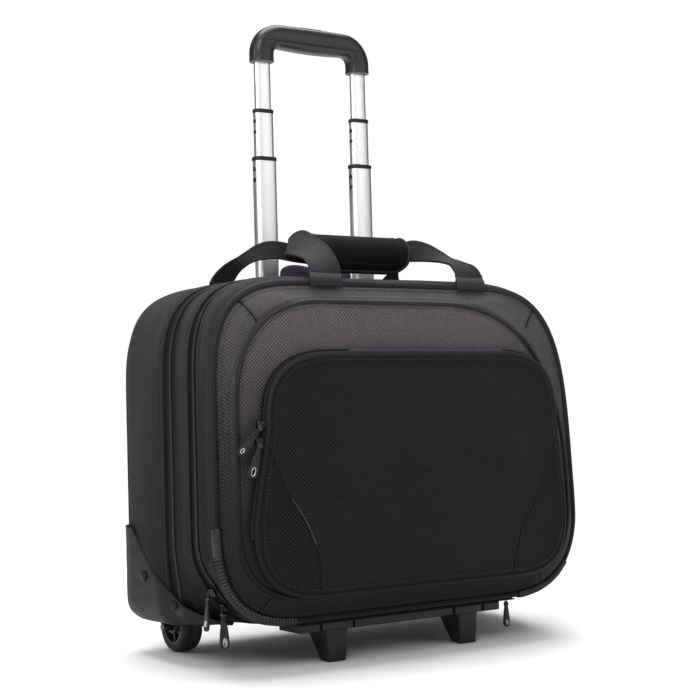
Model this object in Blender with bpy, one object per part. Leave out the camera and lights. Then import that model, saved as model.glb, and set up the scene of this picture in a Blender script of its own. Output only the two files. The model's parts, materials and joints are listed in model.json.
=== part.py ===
"""Rolling laptop case with a three-stage telescopic trolley handle.

Dimensions are in millimetres and scaled to metres as each mesh is made.  The
case is drawn upright in its own frame (X right, Y back, Z up, Y = 0 near the
main front piping) and hung on one empty that leans it back to stand on its
two wheels and two front feet.
"""
import math
from collections import namedtuple

import bmesh
import bpy
from mathutils import Matrix, Vector

for old in list(bpy.data.objects):
    bpy.data.objects.remove(old, do_unlink=True)

# ---------------------------------------------------------------- dimensions
MM = 0.001
LEAN = math.atan(0.0493)            # backward lean of the whole case
Y_SHIFT = -82.9                     # brings the middle of the footprint to Y = 0
SIDES = (("left", -1), ("right", 1))
ORIGIN = (0.0, 0.0, 0.0)
SHARP_ANGLE = math.radians(30.0)    # edges steeper than this are shaded sharp

# Gusset: the fabric band round the sides, top and bottom
HALF_W = 221.0
BOT_Z, TOP_Z = 40.3, 370.0
WALL = 3.0
CORNER_FACETS = 8
SQUARE_Y = 100.0                    # bottom corners are at their tightest from here back
SYMMETRIC_Y = 118.0                 # both top corners match from here back

# Rounded turn from gusset to back face
REAR_Y, REAR_R = 185.0, 22.0
TURN_Y = REAR_Y - REAR_R
BACK_TURN = (                       # Y, inset from the gusset
    (REAR_Y - 10.0, 3.5), (REAR_Y - 3.0, 11.0), (REAR_Y, REAR_R),
)

# Zips: B parts front lid and laptop section, A parts section and rear shell
ZIP_A, ZIP_B = 80.0, 35.0
ZIP_HALF = 2.4
ZIP_EDGE = ZIP_HALF + 0.4           # zip middle to fabric edge

LID_HINGE = (0.0, 0.0, 46.0)        # bottom front hinge of lid and section
POCKET_HINGE = (0.0, -22.0, 70.0)

WHEEL_R, WHEEL_W = 25.0, 22.0
WHEEL_X, WHEEL_Y = 178.5, 145.0
WHEEL_Z = (WHEEL_R + WHEEL_Y * math.sin(LEAN)) / math.cos(LEAN)
AXLE_R = 4.0
WELL_X, WELL_Y, WELL_TOP = (158.0, 199.0), (108.0, 184.0), 66.0

# Telescopic tubes, outermost first
Tube = namedtuple("Tube", "width depth wall radius bottom top")
TUBE_X, TUBE_Y = 61.7, 154.0
FIXED = Tube(29.0, 18.0, 1.6, 6.0, 60.0, 352.0)
LOWER = Tube(24.4, 13.8, 1.1, 4.5, 240.0, 505.7)
MIDDLE = Tube(21.2, 10.8, 1.1, 4.0, 296.0, 556.4)
UPPER = Tube(18.0, 7.9, 1.1, 3.2, 350.0, 624.0)

# ---------------------------------------------------------------- materials
MATERIALS = {}


def material(name, colour, roughness, metallic=0.0):
    mat = bpy.data.materials.new(name)
    mat.use_nodes = True
    shader = mat.node_tree.nodes["Principled BSDF"]
    shader.inputs["Base Color"].default_value = (*colour, 1.0)
    shader.inputs["Roughness"].default_value = roughness
    shader.inputs["Metallic"].default_value = metallic
    MATERIALS[name] = mat


material("body_fabric", colour=(0.030, 0.030, 0.032), roughness=0.85)
material("panel_fabric", colour=(0.033, 0.031, 0.031), roughness=0.85)
material("pocket_fabric", colour=(0.028, 0.028, 0.030), roughness=0.80)
material("lining_fabric", colour=(0.10, 0.085, 0.12), roughness=0.85)
material("piping_trim", colour=(0.014, 0.014, 0.015), roughness=0.55)
material("webbing", colour=(0.020, 0.020, 0.021), roughness=0.75)
material("wrap_fabric", colour=(0.022, 0.022, 0.023), roughness=0.70)
material("zip_coil", colour=(0.016, 0.016, 0.017), roughness=0.50)
material("zip_metal", colour=(0.20, 0.20, 0.21), roughness=0.35, metallic=1.0)
material("pull_rubber", colour=(0.015, 0.015, 0.016), roughness=0.55)
material("bumper_rubber", colour=(0.018, 0.018, 0.019), roughness=0.50)
material("guard_plastic", colour=(0.035, 0.038, 0.045), roughness=0.45)
material("base_plastic", colour=(0.030, 0.032, 0.037), roughness=0.45)
material("grip_plastic", colour=(0.040, 0.042, 0.046), roughness=0.50)
material("button_plastic", colour=(0.028, 0.030, 0.033), roughness=0.45)
material("bush_plastic", colour=(0.020, 0.020, 0.021), roughness=0.45)
material("tube_aluminium", colour=(0.80, 0.81, 0.82), roughness=0.28, metallic=1.0)
material("fixed_aluminium", colour=(0.60, 0.61, 0.62), roughness=0.45, metallic=1.0)
material("axle_steel", colour=(0.50, 0.50, 0.51), roughness=0.35, metallic=1.0)
material("rivet_steel", colour=(0.08, 0.08, 0.085), roughness=0.35, metallic=1.0)
material("tyre_rubber", colour=(0.016, 0.016, 0.017), roughness=0.65)
material("hub_plastic", colour=(0.045, 0.047, 0.052), roughness=0.50)
material("board_plastic", colour=(0.045, 0.045, 0.048), roughness=0.60)

# ---------------------------------------------------------------- objects
FRAME = bpy.data.objects.new("case_frame", None)
bpy.context.scene.collection.objects.link(FRAME)
FRAME.location = (0.0, Y_SHIFT * MM, 0.0)
FRAME.rotation_euler = (-LEAN, 0.0, 0.0)


def put(name, bm, mat, pivot=ORIGIN, smooth=True):
    """Turn a bmesh (millimetres, case frame) into an object with its origin at pivot."""
    bmesh.ops.recalc_face_normals(bm, faces=bm.faces)
    bmesh.ops.translate(bm, vec=-Vector(pivot), verts=bm.verts)
    bmesh.ops.scale(bm, vec=(MM, MM, MM), verts=bm.verts)
    mesh = bpy.data.meshes.new(name)
    bm.to_mesh(mesh)
    bm.free()
    mesh.materials.append(MATERIALS[mat])
    if smooth:
        mesh.shade_smooth()
        mesh.set_sharp_from_angle(angle=SHARP_ANGLE)
    obj = bpy.data.objects.new(name, mesh)
    bpy.context.scene.collection.objects.link(obj)
    obj.parent = FRAME
    obj.location = Vector(pivot) * MM
    return obj


def boolean(target, bm, name, operation="DIFFERENCE", pivot=ORIGIN):
    """Cut a tool body from the target, or join it on."""
    tool = put(name, bm, "board_plastic", pivot, smooth=False)
    tool.hide_render = True
    tool.display_type = 'WIRE'
    modifier = target.modifiers.new(name, 'BOOLEAN')
    modifier.operation = operation
    modifier.object = tool
    modifier.solver = 'EXACT'


# ---------------------------------------------------------------- outlines
# Outlines are (x, z) points, clockwise seen from the front, starting at the
# bottom end of the bottom left corner.
def clamp(value):
    return min(max(value, 0.0), 1.0)


def mix(start, end, t):
    return tuple(a + (b - a) * t for a, b in zip(start, end))


def span(middle, half):
    return middle - half, middle + half


def four_corners(corners, facets=CORNER_FACETS):
    """Join superellipse quarters, bottom left first and clockwise.

    Each corner is centre x, centre z, half width, half height, exponent.
    """
    points = []
    for quarter, (cx, cz, half_w, half_h, exponent) in enumerate(corners):
        for i in range(facets + 1):
            t = math.pi / 2 * i / facets
            c = max(math.cos(t), 0.0) ** (2.0 / exponent)
            s = math.sin(t) ** (2.0 / exponent)
            dx, dz = ((-s, -c), (-c, s), (s, c), (c, -s))[quarter]
            points.append((cx + half_w * dx, cz + half_h * dz))
    return points


def pull_in_right(points, shift, from_z, height):
    """Lean the right side inwards above from_z, by shift at height above it."""
    return [(x - shift * (z - from_z) / height * min(1.0, x / 60.0), z)
            if x > 0 and z > from_z else (x, z) for x, z in points]


def body_ring(half_w, bottom, top, asymmetry, facets=CORNER_FACETS, squareness=0.0):
    """Case outline; asymmetry drops the top right corner away and squareness
    tightens both bottom corners."""
    plain_top = (110, 108, 3.2)     # corners: half width, half height, exponent
    square = (26, 20, 2.4)
    left_w, left_h, left_n = mix((100, 150 - bottom, 3.0), square, squareness)
    right_w, right_h, right_n = mix((105, 150 - bottom, 2.8), square, squareness)
    top_w, top_h, top_n = plain_top
    fall_w, fall_h, fall_n = mix(plain_top, (150, 205, 4.0), asymmetry)
    points = four_corners((
        (-half_w + left_w, bottom + left_h, left_w, left_h, left_n),
        (-half_w + top_w, top - top_h, top_w, top_h, top_n),
        (half_w - fall_w, top - fall_h, fall_w, fall_h, fall_n),
        (half_w - right_w, bottom + right_h, right_w, right_h, right_n),
    ), facets)
    return pull_in_right(points, shift=14.0 * asymmetry, from_z=117, height=246.0)


def gusset(y, facets=CORNER_FACETS):
    """Gusset outline at depth y."""
    t = clamp(y / SQUARE_Y)
    return body_ring(HALF_W, BOT_Z, TOP_Z, max(0.0, 1.0 - y / SYMMETRIC_Y), facets,
                     t * t * (3.0 - 2.0 * t))


def back_ring(inward):
    """Outline of the rounded back, moved in from the gusset with its corners kept."""
    return body_ring(HALF_W - inward, BOT_Z + inward, TOP_Z - inward, 0.0, squareness=1.0)


def lid_gusset(y):
    """Gusset of the front lid, kept above the section's hinge flap."""
    return [(x, max(z, 43.0)) for x, z in gusset(y)]


# Main front piping, the piping framing the front panel, and the pocket edge
MAIN_RING = body_ring(half_w=219.0, bottom=46.0, top=363.0, asymmetry=1.0)
INNER_RING = pull_in_right(four_corners((
    (-110, 145, 94, 78, 2.8), (-100, 235, 104, 109, 2.6),
    (30, 140, 167, 204, 2.6), (110, 145, 87, 76, 3.0),
)), shift=5.0, from_z=140, height=200.0)
POCKET_RING = four_corners((
    (-110, 140, 82, 70, 2.8), (-95, 225, 82, 69, 2.8),
    (100, 225, 73, 69, 2.8), (110, 140, 72, 70, 3.0),
))


def outward_normals(points, closed=True):
    count = len(points)
    normals = []
    for i in range(count):
        if closed:
            before, after = points[i - 1], points[(i + 1) % count]
        else:
            before, after = points[max(i - 1, 0)], points[min(i + 1, count - 1)]
        dx, dz = after[0] - before[0], after[1] - before[1]
        length = math.hypot(dx, dz)
        normals.append((-dz / length, dx / length))
    return normals


def inset(points, distance):
    """Move each point of a closed outline inwards."""
    return [(x - nx * distance, z - nz * distance)
            for (x, z), (nx, nz) in zip(points, outward_normals(points))]


def resample(points, start, end, pieces):
    """Evenly spaced points between two distances along a closed outline;
    negative distances count back from its end."""
    closed = points + [points[0]]
    run = [0.0]
    for a, b in zip(closed, closed[1:]):
        run.append(run[-1] + math.dist(a, b))
    start, end = start % run[-1], end % run[-1]
    result = []
    for i in range(pieces + 1):
        along = start + (end - start) * i / pieces
        j = max(q for q in range(len(points)) if run[q] <= along)
        result.append(mix(closed[j], closed[j + 1], (along - run[j]) / (run[j + 1] - run[j])))
    return result


def left_side_point(z, y):
    """Point and outward normal on the left of the gusset at height z, depth y."""
    points = gusset(y, 60)
    best = min(range(1, 118), key=lambda i: abs(points[i][1] - z))
    if abs(points[best][1] - z) > 4.0:      # on the straight between the corners
        return (-HALF_W, z), (-1.0, 0.0)
    return points[best], outward_normals(points)[best]


# ---------------------------------------------------------------- builders
def loft(rings, loop=False):
    """Skin a row of rings; cap the ends, or join last to first if loop."""
    bm = bmesh.new()
    rows = [[bm.verts.new(p) for p in ring] for ring in rings]
    count = len(rows[0])
    pairs = list(zip(rows, rows[1:]))
    if loop:
        pairs.append((rows[-1], rows[0]))
    for a, b in pairs:
        for i in range(count):
            j = (i + 1) % count
            bm.faces.new((a[i], a[j], b[j], b[i]))
    if not loop:
        bm.faces.new(rows[0][::-1])
        bm.faces.new(rows[-1])
    return bm


def loft_outlines(*stations):
    """Loft through (outline, y) stations."""
    return loft([[Vector((x, y, z)) for x, z in points] for points, y in stations])


def sweep_outline(points, y, profile, closed=True):
    """Sweep a profile of (outward, along +Y) points along a flat outline."""
    rings = [[Vector((x + nx * u, y + v, z + nz * u)) for u, v in profile]
             for (x, z), (nx, nz) in zip(points, outward_normals(points, closed))]
    return loft(rings, loop=closed)


def circle(radius, count):
    return [(radius * math.cos(2 * math.pi * i / count), radius * math.sin(2 * math.pi * i / count))
            for i in range(count)]


def rounded_rect(width, height, radius, facets=3):
    points = []
    for quarter, (sx, sy) in enumerate(((1, 1), (-1, 1), (-1, -1), (1, -1))):
        for i in range(facets + 1):
            t = math.pi / 2 * (quarter + i / facets)
            points.append((sx * (width / 2 - radius) + radius * math.cos(t),
                           sy * (height / 2 - radius) + radius * math.sin(t)))
    return points


def column(x, stations, loop=False):
    """Upright loft on the tube line; stations are width, depth, corner radius, z."""
    return loft([[Vector((x + u, TUBE_Y + v, z)) for u, v in rounded_rect(width, depth, radius)]
                 for width, depth, radius, z in stations], loop)


def box(xs, ys, zs, bevel=0.0):
    """Box between three (low, high) pairs."""
    bm = bmesh.new()
    pairs = (xs, ys, zs)
    bmesh.ops.create_cube(bm, size=1.0)
    bmesh.ops.scale(bm, vec=[high - low for low, high in pairs], verts=bm.verts)
    bmesh.ops.translate(bm, vec=[(low + high) / 2 for low, high in pairs], verts=bm.verts)
    if bevel:
        bmesh.ops.bevel(bm, geom=list(bm.edges), offset=bevel, segments=1, affect='EDGES')
    return bm


def side_box(sx, inner_x, outer_x, ys, zs):
    """Box on one side of the case, between two distances from its middle."""
    return box(sorted((sx * inner_x, sx * outer_x)), ys, zs)


def ring_about(centre, u, v, radius, count):
    return [centre + u * a + v * b for a, b in circle(radius, count)]


def rod(start, end, radius, count=16):
    start, end = Vector(start), Vector(end)
    direction = (end - start).normalized()
    u = direction.orthogonal().normalized()
    v = direction.cross(u)
    return loft([ring_about(p, u, v, radius, count) for p in (start, end)])


def turned(profile, centre, count):
    """Closed ring spun about an X axis; profile is (radius, along X)."""
    cx, cy, cz = centre
    return loft([[Vector((cx + u, cy + radius * c, cz + radius * s)) for radius, u in profile]
                 for c, s in circle(1.0, count)], loop=True)


# ---------------------------------------------------------------- rear shell
def build_rear_shell():
    edge = ZIP_A + ZIP_EDGE
    shell = put("rear_shell", loft_outlines(
        # inner skin, back to front
        (back_ring(26.0), REAR_Y - WALL),
        (back_ring(14.0), REAR_Y - WALL - 3.0),
        (back_ring(6.0), REAR_Y - WALL - 11.0),
        (inset(gusset(TURN_Y), WALL), TURN_Y),
        (inset(gusset(112.0), WALL), 112.0),
        (inset(gusset(edge), WALL), edge),
        # outer skin, front to back
        (gusset(edge), edge),
        (gusset(112.0), 112.0),
        (gusset(TURN_Y), TURN_Y),
        *((back_ring(inward), y) for y, inward in BACK_TURN),
    ), "body_fabric")
    for side, sx in SIDES:
        boolean(shell, side_box(sx, WELL_X[0] - 0.5, WELL_X[1] + 0.5,
                                (WELL_Y[0] - 0.5, WELL_Y[1] + 8), (20, WELL_TOP + 3.0)),
                "cut_well_" + side[0])
        boolean(shell, box(span(sx * TUBE_X, 14.2), span(TUBE_Y, 9), (360, 380)),
                "cut_top_" + side[0])


def build_back_board():
    outline = inset(gusset(139.0), 5.5)
    board = put("back_board", loft_outlines((outline, 138.0), (outline, 140.2)), "board_plastic")
    for side, sx in SIDES:
        boolean(board, side_box(sx, WELL_X[0] - 0.6, WELL_X[1] + 30, (120, 160),
                                (20, WELL_TOP + 3.2)), "cut_board_" + side[0])


def build_base():
    """Base board, and the bar under the front edge with two feet.

    The soles of the feet lie on the floor, which slopes in the case frame.
    """
    put("base_board", box((-143, 143), (12, 183), (BOT_Z - 4.3, BOT_Z - 0.9), bevel=1.1),
        "base_plastic")
    front, back = 12.5, 52.0
    foot_x = 81.0
    bar = put("base_bar", box((-123, 123), (front, back), (30.5, BOT_Z - 4.6), bevel=1.0),
              "base_plastic")
    for side, sx in SIDES:
        middle = sx * foot_x
        sole = []
        for u, v in rounded_rect(21, 16, 2.5, 2):
            y = front + 9.0 + v
            sole.append(Vector((middle + u, y, y * math.tan(LEAN))))
        top = [Vector((middle + u, front + 19.2 + v, 33.0))
               for u, v in rounded_rect(27, 37, 3.0, 2)]
        boolean(bar, loft([sole, top]), "foot_" + side[0], "UNION")
        for q in (-1, 1):           # a slot on either side of each foot
            boolean(bar, box(span(middle + q * 19.0, 1.6), (front - 2, front + 3), (31.5, 35.0)),
                    "slot_%s%d" % (side[0], q))


# ---------------------------------------------------------------- corner guards
GUARD_THICK = 2.7
GUARD_BACK = REAR_Y - 4.5


def guard_edge_y(z):
    """Front edge of the corner guard: a shallow hollow diagonal."""
    return 36.0 + (176.0 - 36.0) * clamp((z - 42.0) / (131.0 - 42.0)) ** 0.72


def turn_inset(y):
    """Inset of the gusset where it turns round to the back face."""
    table = ((0.0, 0.0), (TURN_Y, 0.0), *BACK_TURN)
    for (y0, inset0), (y1, inset1) in zip(table, table[1:]):
        if y <= y1:
            return inset0 + (inset1 - inset0) * (y - y0) / (y1 - y0)


def guard_body(sx):
    """Guard drawn on the left bottom corner; sx = 1 mirrors it to the right."""
    run = [(-HALF_W + 32.0, BOT_Z)]
    run += gusset(REAR_Y, 12)[:13]
    run += [(-HALF_W, z) for z in (70.0, 82.0, 94.0, 106.0, 118.0)]
    rings = []
    for (x, z), (nx, nz) in zip(run, outward_normals(run, closed=False)):
        front = guard_edge_y(z)
        if front < 150.0:
            gap = 0.5
            ys = [front, (front + TURN_Y) / 2, TURN_Y, REAR_Y - 10.0, GUARD_BACK]
        else:
            gap = 1.2
            ys = [front + (GUARD_BACK - front) * t for t in (0.0, 0.25, 0.5, 0.75, 1.0)]
        inner, outer = [], []
        for y in ys:
            turn = turn_inset(y)
            out = gap + 1.7 * clamp((y - TURN_Y) / 12.0) - turn
            inner.append((x + nx * out, y, z + nz * out))
            out += GUARD_THICK
            outer.append((x + nx * out, y + 0.12 * turn, z + nz * out))
        rings.append([Vector((-sx * px, py, pz)) for px, py, pz in inner + outer[::-1]])
    return loft(rings)


def build_rivet(name, point, normal):
    profile = (                     # radius, height along the normal
        (1.6, 1.0), (1.6, 3.5), (3.9, 3.5), (3.9, 4.1), (3.0, 5.2), (1.5, 5.9),
    )
    u = Vector((0, 1, 0))
    v = normal.cross(u)
    put(name, loft([ring_about(point + normal * height, u, v, radius, 14)
                    for radius, height in profile]), "rivet_steel")


def build_guard(side, sx):
    """Corner guard joined to its wheel housing, with its rivets and axle."""
    guard = put("corner_guard_" + side, guard_body(sx), "guard_plastic")
    boolean(guard, side_box(sx, *WELL_X, WELL_Y, (BOT_Z - 2.2, WELL_TOP + 2.5)),
            "house_" + side, "UNION")
    boolean(guard, side_box(sx, WELL_X[0] + 2.5, WELL_X[1] - 2.5,
                            (WELL_Y[0] + 2.5, WELL_Y[1] + 14), (10, WELL_TOP)), "room_" + side)
    boolean(guard, rod((sx * 150, WHEEL_Y, WHEEL_Z), (sx * 215, WHEEL_Y, WHEEL_Z), AXLE_R + 0.4),
            "bore_" + side)
    for j, (level, rivet_y, rivet_z) in enumerate((("upper", 134.0, 78.0), ("lower", 84.0, 56.0))):
        (x, z), (nx, nz) = left_side_point(rivet_z, REAR_Y)
        normal = Vector((-sx * nx, 0, nz))
        point = Vector((-sx * x, rivet_y, z))
        build_rivet("guard_rivet_%s_%s" % (side, level), point, normal)
        boolean(guard, rod(point - normal * 1.0, point + normal * 8.0, 2.1, 12),
                "pin_%s%d" % (side, j))
    put("axle_" + side, rod((sx * (WELL_X[0] - 4), WHEEL_Y, WHEEL_Z),
                            (sx * (WELL_X[1] + 1.2), WHEEL_Y, WHEEL_Z), AXLE_R), "axle_steel")


# ---------------------------------------------------------------- section and lid
def zip_ring(y):
    return sweep_outline(gusset(y), y, [(-3.6, -ZIP_HALF), (-1.2, -ZIP_HALF), (-0.7, 0.0),
                                        (-1.2, ZIP_HALF), (-3.6, ZIP_HALF)])


def build_laptop_section():
    front, back = ZIP_B + ZIP_EDGE, ZIP_A - ZIP_EDGE
    section = put("laptop_section_shell", loft_outlines(
        (inset(gusset(back - 2.4), WALL + 2.0), back - 2.4),
        (inset(gusset(57.0), WALL), 57.0),
        (inset(gusset(front), WALL), front),
        (gusset(front), front),
        (gusset(57.0), 57.0),
        (gusset(back), back),
    ), "body_fabric", LID_HINGE)
    boolean(section, box((-140, 140), (7.0, front + 6.0), (BOT_Z - 0.5, BOT_Z + 0.25)),
            "hinge_flap", "UNION", LID_HINGE)
    put("laptop_divider", box((-184, 184), (43, 46), (66, 300), bevel=1.2), "lining_fabric",
        LID_HINGE)
    put("rear_zip_coil", zip_ring(ZIP_A), "zip_coil")
    put("front_zip_coil", zip_ring(ZIP_B), "zip_coil", LID_HINGE)


def build_front_lid():
    edge = ZIP_B - ZIP_EDGE
    put("front_lid_shell", loft_outlines(
        # inner skin, front to back
        (inset(INNER_RING, 60.0), -17.4),
        (inset(INNER_RING, 20.0), -15.4),
        (inset(INNER_RING, 3.5), -10.4),
        (inset(MAIN_RING, 8.0), 3.0),
        (inset(lid_gusset(14.0), WALL), 14.0),
        (inset(lid_gusset(edge), WALL), edge),
        # outer skin, back to front
        (lid_gusset(edge), edge),
        (lid_gusset(14.0), 14.0),
        (inset(MAIN_RING, 0.8), 5.6),
        (inset(MAIN_RING, 4.8), 1.0),
        (INNER_RING, -13.0),
        (inset(INNER_RING, 20.0), -18.0),
        (inset(INNER_RING, 60.0), -20.0),
    ), "panel_fabric", LID_HINGE)
    put("outer_piping", sweep_outline(MAIN_RING, 0.5, circle(3.4, 8)), "piping_trim", LID_HINGE)
    put("inner_piping", sweep_outline(INNER_RING, -15.7, circle(1.8, 6)), "piping_trim",
        LID_HINGE)


def build_bumpers():
    """C-shaped strips over the main piping at the lower corners."""
    inner_r, outer_r, facets = 4.5, 6.6, 5
    # 0 degrees points outwards and 90 degrees to the front
    angles = [math.radians(-40 + 170 * i / facets) for i in range(facets + 1)]
    profile = [(outer_r * math.cos(t), -outer_r * math.sin(t)) for t in angles]
    profile += [(inner_r * math.cos(t), -inner_r * math.sin(t)) for t in reversed(angles)]
    for side, start, end, pieces in (("left", 5.0, 178.0, 16), ("right", -330.0, -262.0, 7)):
        put("bumper_" + side,
            sweep_outline(resample(MAIN_RING, start, end, pieces), 0.5, profile, closed=False),
            "bumper_rubber", LID_HINGE)


def build_pocket():
    put("pocket_zip_coil", sweep_outline(
        resample(POCKET_RING, 110.0, -330.0, 40), -21.3,
        [(0, -0.9), (0, 0.8), (-4.0, 0.8), (-4.0, -0.9)], closed=False), "zip_coil", LID_HINGE)
    stations = (                    # inset from the pocket edge, y
        # inner skin, front to back
        (55.0, -39.6), (36.0, -38.0), (16.0, -32.0), (6.4, -25.5), (6.4, -22.7),
        # outer skin, back to front
        (3.4, -22.7), (3.4, -26.5), (14.0, -34.0), (35.0, -40.2), (55.0, -42.0),
    )
    put("pocket_shell", loft_outlines(*((inset(POCKET_RING, inward), y) for inward, y in stations)),
        "pocket_fabric", POCKET_HINGE)
    put("pocket_piping", sweep_outline(POCKET_RING, -25.2, circle(2.3, 6)), "piping_trim",
        POCKET_HINGE)


# ---------------------------------------------------------------- carry handles
STRAP_FOOT = (0.0, 4.6, 371.0)      # stitched foot of the front strap
WRAP_Y, WRAP_Z = 72.0, 398.0        # middle of the padded grip wrap
WRAP_X = (-46.0, 50.0)
FRONT_STRAP_PATH = (                # x, y, z from left foot to right foot
    (-91.5, 4.6, 371.2), (-92, 4.2, 381), (-90, 12, 397), (-76, 38, 409), (-58, 62, 404),
    (-48, 68, 402), (-30, 69, 401), (8, 69, 401), (50, 69, 401), (64, 68, 402),
    (75, 58, 405), (90, 28, 405), (94, 10, 393), (89, 4.8, 380), (88, 4.6, 371.2),
)
REAR_STRAP_PATH = (
    (-136, 131, 374.5), (-135, 131, 381), (-126, 130, 391), (-106, 124, 404),
    (-78, 104, 411), (-57, 83, 391), (-30, 80, 388), (8, 80, 388), (46, 80, 388),
    (68, 86, 389), (80, 112, 392), (89, 128, 387), (92, 131, 380), (92, 131, 374.5),
)


def smooth_path(points, pieces=3):
    """Catmull-Rom curve through the points, cut into pieces per span."""
    path = [Vector(p) for p in points]
    path = [path[0] * 2 - path[1]] + path + [path[-1] * 2 - path[-2]]
    result = []
    for p0, p1, p2, p3 in zip(path, path[1:], path[2:], path[3:]):
        for i in range(pieces):
            t = i / pieces
            result.append(0.5 * (2 * p1 + (p2 - p0) * t
                                 + (2 * p0 - 5 * p1 + 4 * p2 - p3) * t * t
                                 + (3 * p1 - p0 - 3 * p2 + p3) * t ** 3))
    result.append(path[-2])
    return result


def build_strap(name, points, grip_half, foot_half, foot_wide, pivot=ORIGIN):
    """Strap that is thick and narrow at the grip, flat and wide at the feet.

    grip_half and foot_half are (half width, half thickness), foot_wide is the
    width direction at the feet.
    """
    profile = ((-1, -0.6), (-0.9, -1), (0.9, -1), (1, -0.6),
               (1, 0.6), (0.9, 1), (-0.9, 1), (-1, 0.6))
    grip_wide = Vector((0.0, 0.3, 1.0))
    path = smooth_path(points)
    last = len(path) - 1
    rings = []
    for i, point in enumerate(path):
        from_middle = abs(i / last * 2 - 1)
        blend = clamp((from_middle - 0.45) / 0.3)
        half_w, half_t = mix(grip_half, foot_half, blend)
        wide = grip_wide * (1 - blend) + Vector(foot_wide) * blend
        along = (path[min(i + 1, last)] - path[max(i - 1, 0)]).normalized()
        wide = (wide - along * wide.dot(along)).normalized()
        thick = along.cross(wide)
        rings.append([point + wide * (half_w * a) + thick * (half_t * b) for a, b in profile])
    put(name, loft(rings), "webbing", pivot)


def build_wrap():
    """Padded wrap round the front strap; its open side faces down and back."""
    start, end = WRAP_X
    arc = [math.radians(236) * i / 16 for i in range(17)]
    rings = []
    for x, scale in ((start, 0.93), (start + 6, 1.0), (end - 6, 1.0), (end, 0.93)):
        ring = []
        for skin, angles in ((1.0, arc), (0.74, arc[::-1])):
            ring += [Vector((x, WRAP_Y + 19.5 * scale * skin * math.cos(t),
                             WRAP_Z + 20.5 * scale * skin * math.sin(t))) for t in angles]
        rings.append(ring)
    put("handle_wrap", loft(rings), "wrap_fabric", STRAP_FOOT)


# ---------------------------------------------------------------- trolley
GRIP_BOTTOM, GRIP_TOP = 611.0, 652.0
GRIP_SPLIT = 634.0                  # joint between the two grip shells
GRIP_W, GRIP_D, GRIP_R = 24.0, 21.0, 8.0
GRIP_PIVOT = (0.0, TUBE_Y, GRIP_TOP)


def build_bezel():
    """Moulded bezel round the two tube mouths."""
    bezel = put("handle_bezel", column(0.0, [
        (190 - d, 34 - d, 12 - d / 2, TOP_Z + rise)
        for rise, d in ((0.4, 0.0), (2.4, 0.0), (4.2, 3.0))]), "guard_plastic")
    for side, sx in SIDES:
        boolean(bezel, column(sx * TUBE_X, [(27.6, 17.2, 5.5, TOP_Z + dz) for dz in (-5, 10)]),
                "cut_bezel_" + side[0])


def build_tube(name, tube, x, mat, pivot=ORIGIN):
    """Hollow tube open at both ends."""
    outer = (tube.width, tube.depth, tube.radius)
    inner = (tube.width - 2 * tube.wall, tube.depth - 2 * tube.wall, tube.radius - tube.wall)
    put(name, column(x, [(*outer, tube.bottom), (*outer, tube.top),
                         (*inner, tube.top), (*inner, tube.bottom)], loop=True), mat, pivot)


def build_bush(name, tube, inside, x):
    """Collar on top of a tube, closing in on the tube that slides inside it."""
    width, depth = tube.width + 1.4, tube.depth + 1.4
    outer = (width, depth, tube.radius + 0.6)
    bore = (inside.width + 0.7, inside.depth + 0.7, inside.radius + 0.3)
    bottom = tube.top + 0.3
    top = bottom + 4.0
    put(name, column(x, [
        (*outer, bottom), (*outer, top - 0.8), (width - 1.2, depth - 1.2, tube.radius, top),
        (*bore, top), (*bore, bottom)], loop=True), "bush_plastic", (x, TUBE_Y, tube.top))


def build_tubes():
    for side, sx in SIDES:
        x = sx * TUBE_X
        build_tube("fixed_tube_" + side, FIXED, x, "fixed_aluminium")
        for stage, tube in (("lower", LOWER), ("middle", MIDDLE), ("upper", UPPER)):
            build_tube(stage + "_tube_" + side, tube, x, "tube_aluminium", (x, TUBE_Y, tube.top))
        build_bush("lower_bush_" + side, LOWER, MIDDLE, x)
        build_bush("middle_bush_" + side, MIDDLE, UPPER, x)


def grip_path():
    """Centre line of the grip in (x, z): up the left leg, over and down."""
    bend = 19.0
    top = GRIP_TOP - 13.5
    left = [(-TUBE_X, GRIP_BOTTOM), (-TUBE_X, top - bend)]
    for i in range(1, 6):
        t = math.pi / 2 * i / 6
        left.append((-TUBE_X + bend - bend * math.cos(t), top - bend + bend * math.sin(t)))
    reach = TUBE_X - bend
    bridge = [(-reach + 2 * reach * i / 8, top) for i in range(9)]
    return left + bridge + [(-x, z) for x, z in reversed(left)]


def grip_body(split_z, keep_below):
    """Grip solid on one side of a level cut; its underside bellies out mid-span."""
    path = grip_path()
    rings = []
    for (x, z), (nx, nz) in zip(path, outward_normals(path, closed=False)):
        belly = 3.0 * math.cos(x / 40.0 * math.pi / 2) if abs(x) < 40 else 0.0
        ring = []
        for u, v in rounded_rect(GRIP_W, GRIP_D, GRIP_R):
            if u <= 0:
                u *= 1.0 + belly / (GRIP_W / 2)
            elif z > GRIP_TOP - 20:
                u *= 1.12
            ring.append(Vector((x + nx * u, TUBE_Y + v, z + nz * u)))
        rings.append(ring)
    bm = loft(rings)
    bmesh.ops.bisect_plane(bm, geom=list(bm.verts) + list(bm.edges) + list(bm.faces), dist=1e-5,
                           plane_co=(0, 0, split_z), plane_no=(0, 0, 1),
                           clear_outer=keep_below, clear_inner=not keep_below)
    bmesh.ops.holes_fill(bm, edges=[e for e in bm.edges if e.is_boundary], sides=0)
    return bm


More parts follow.
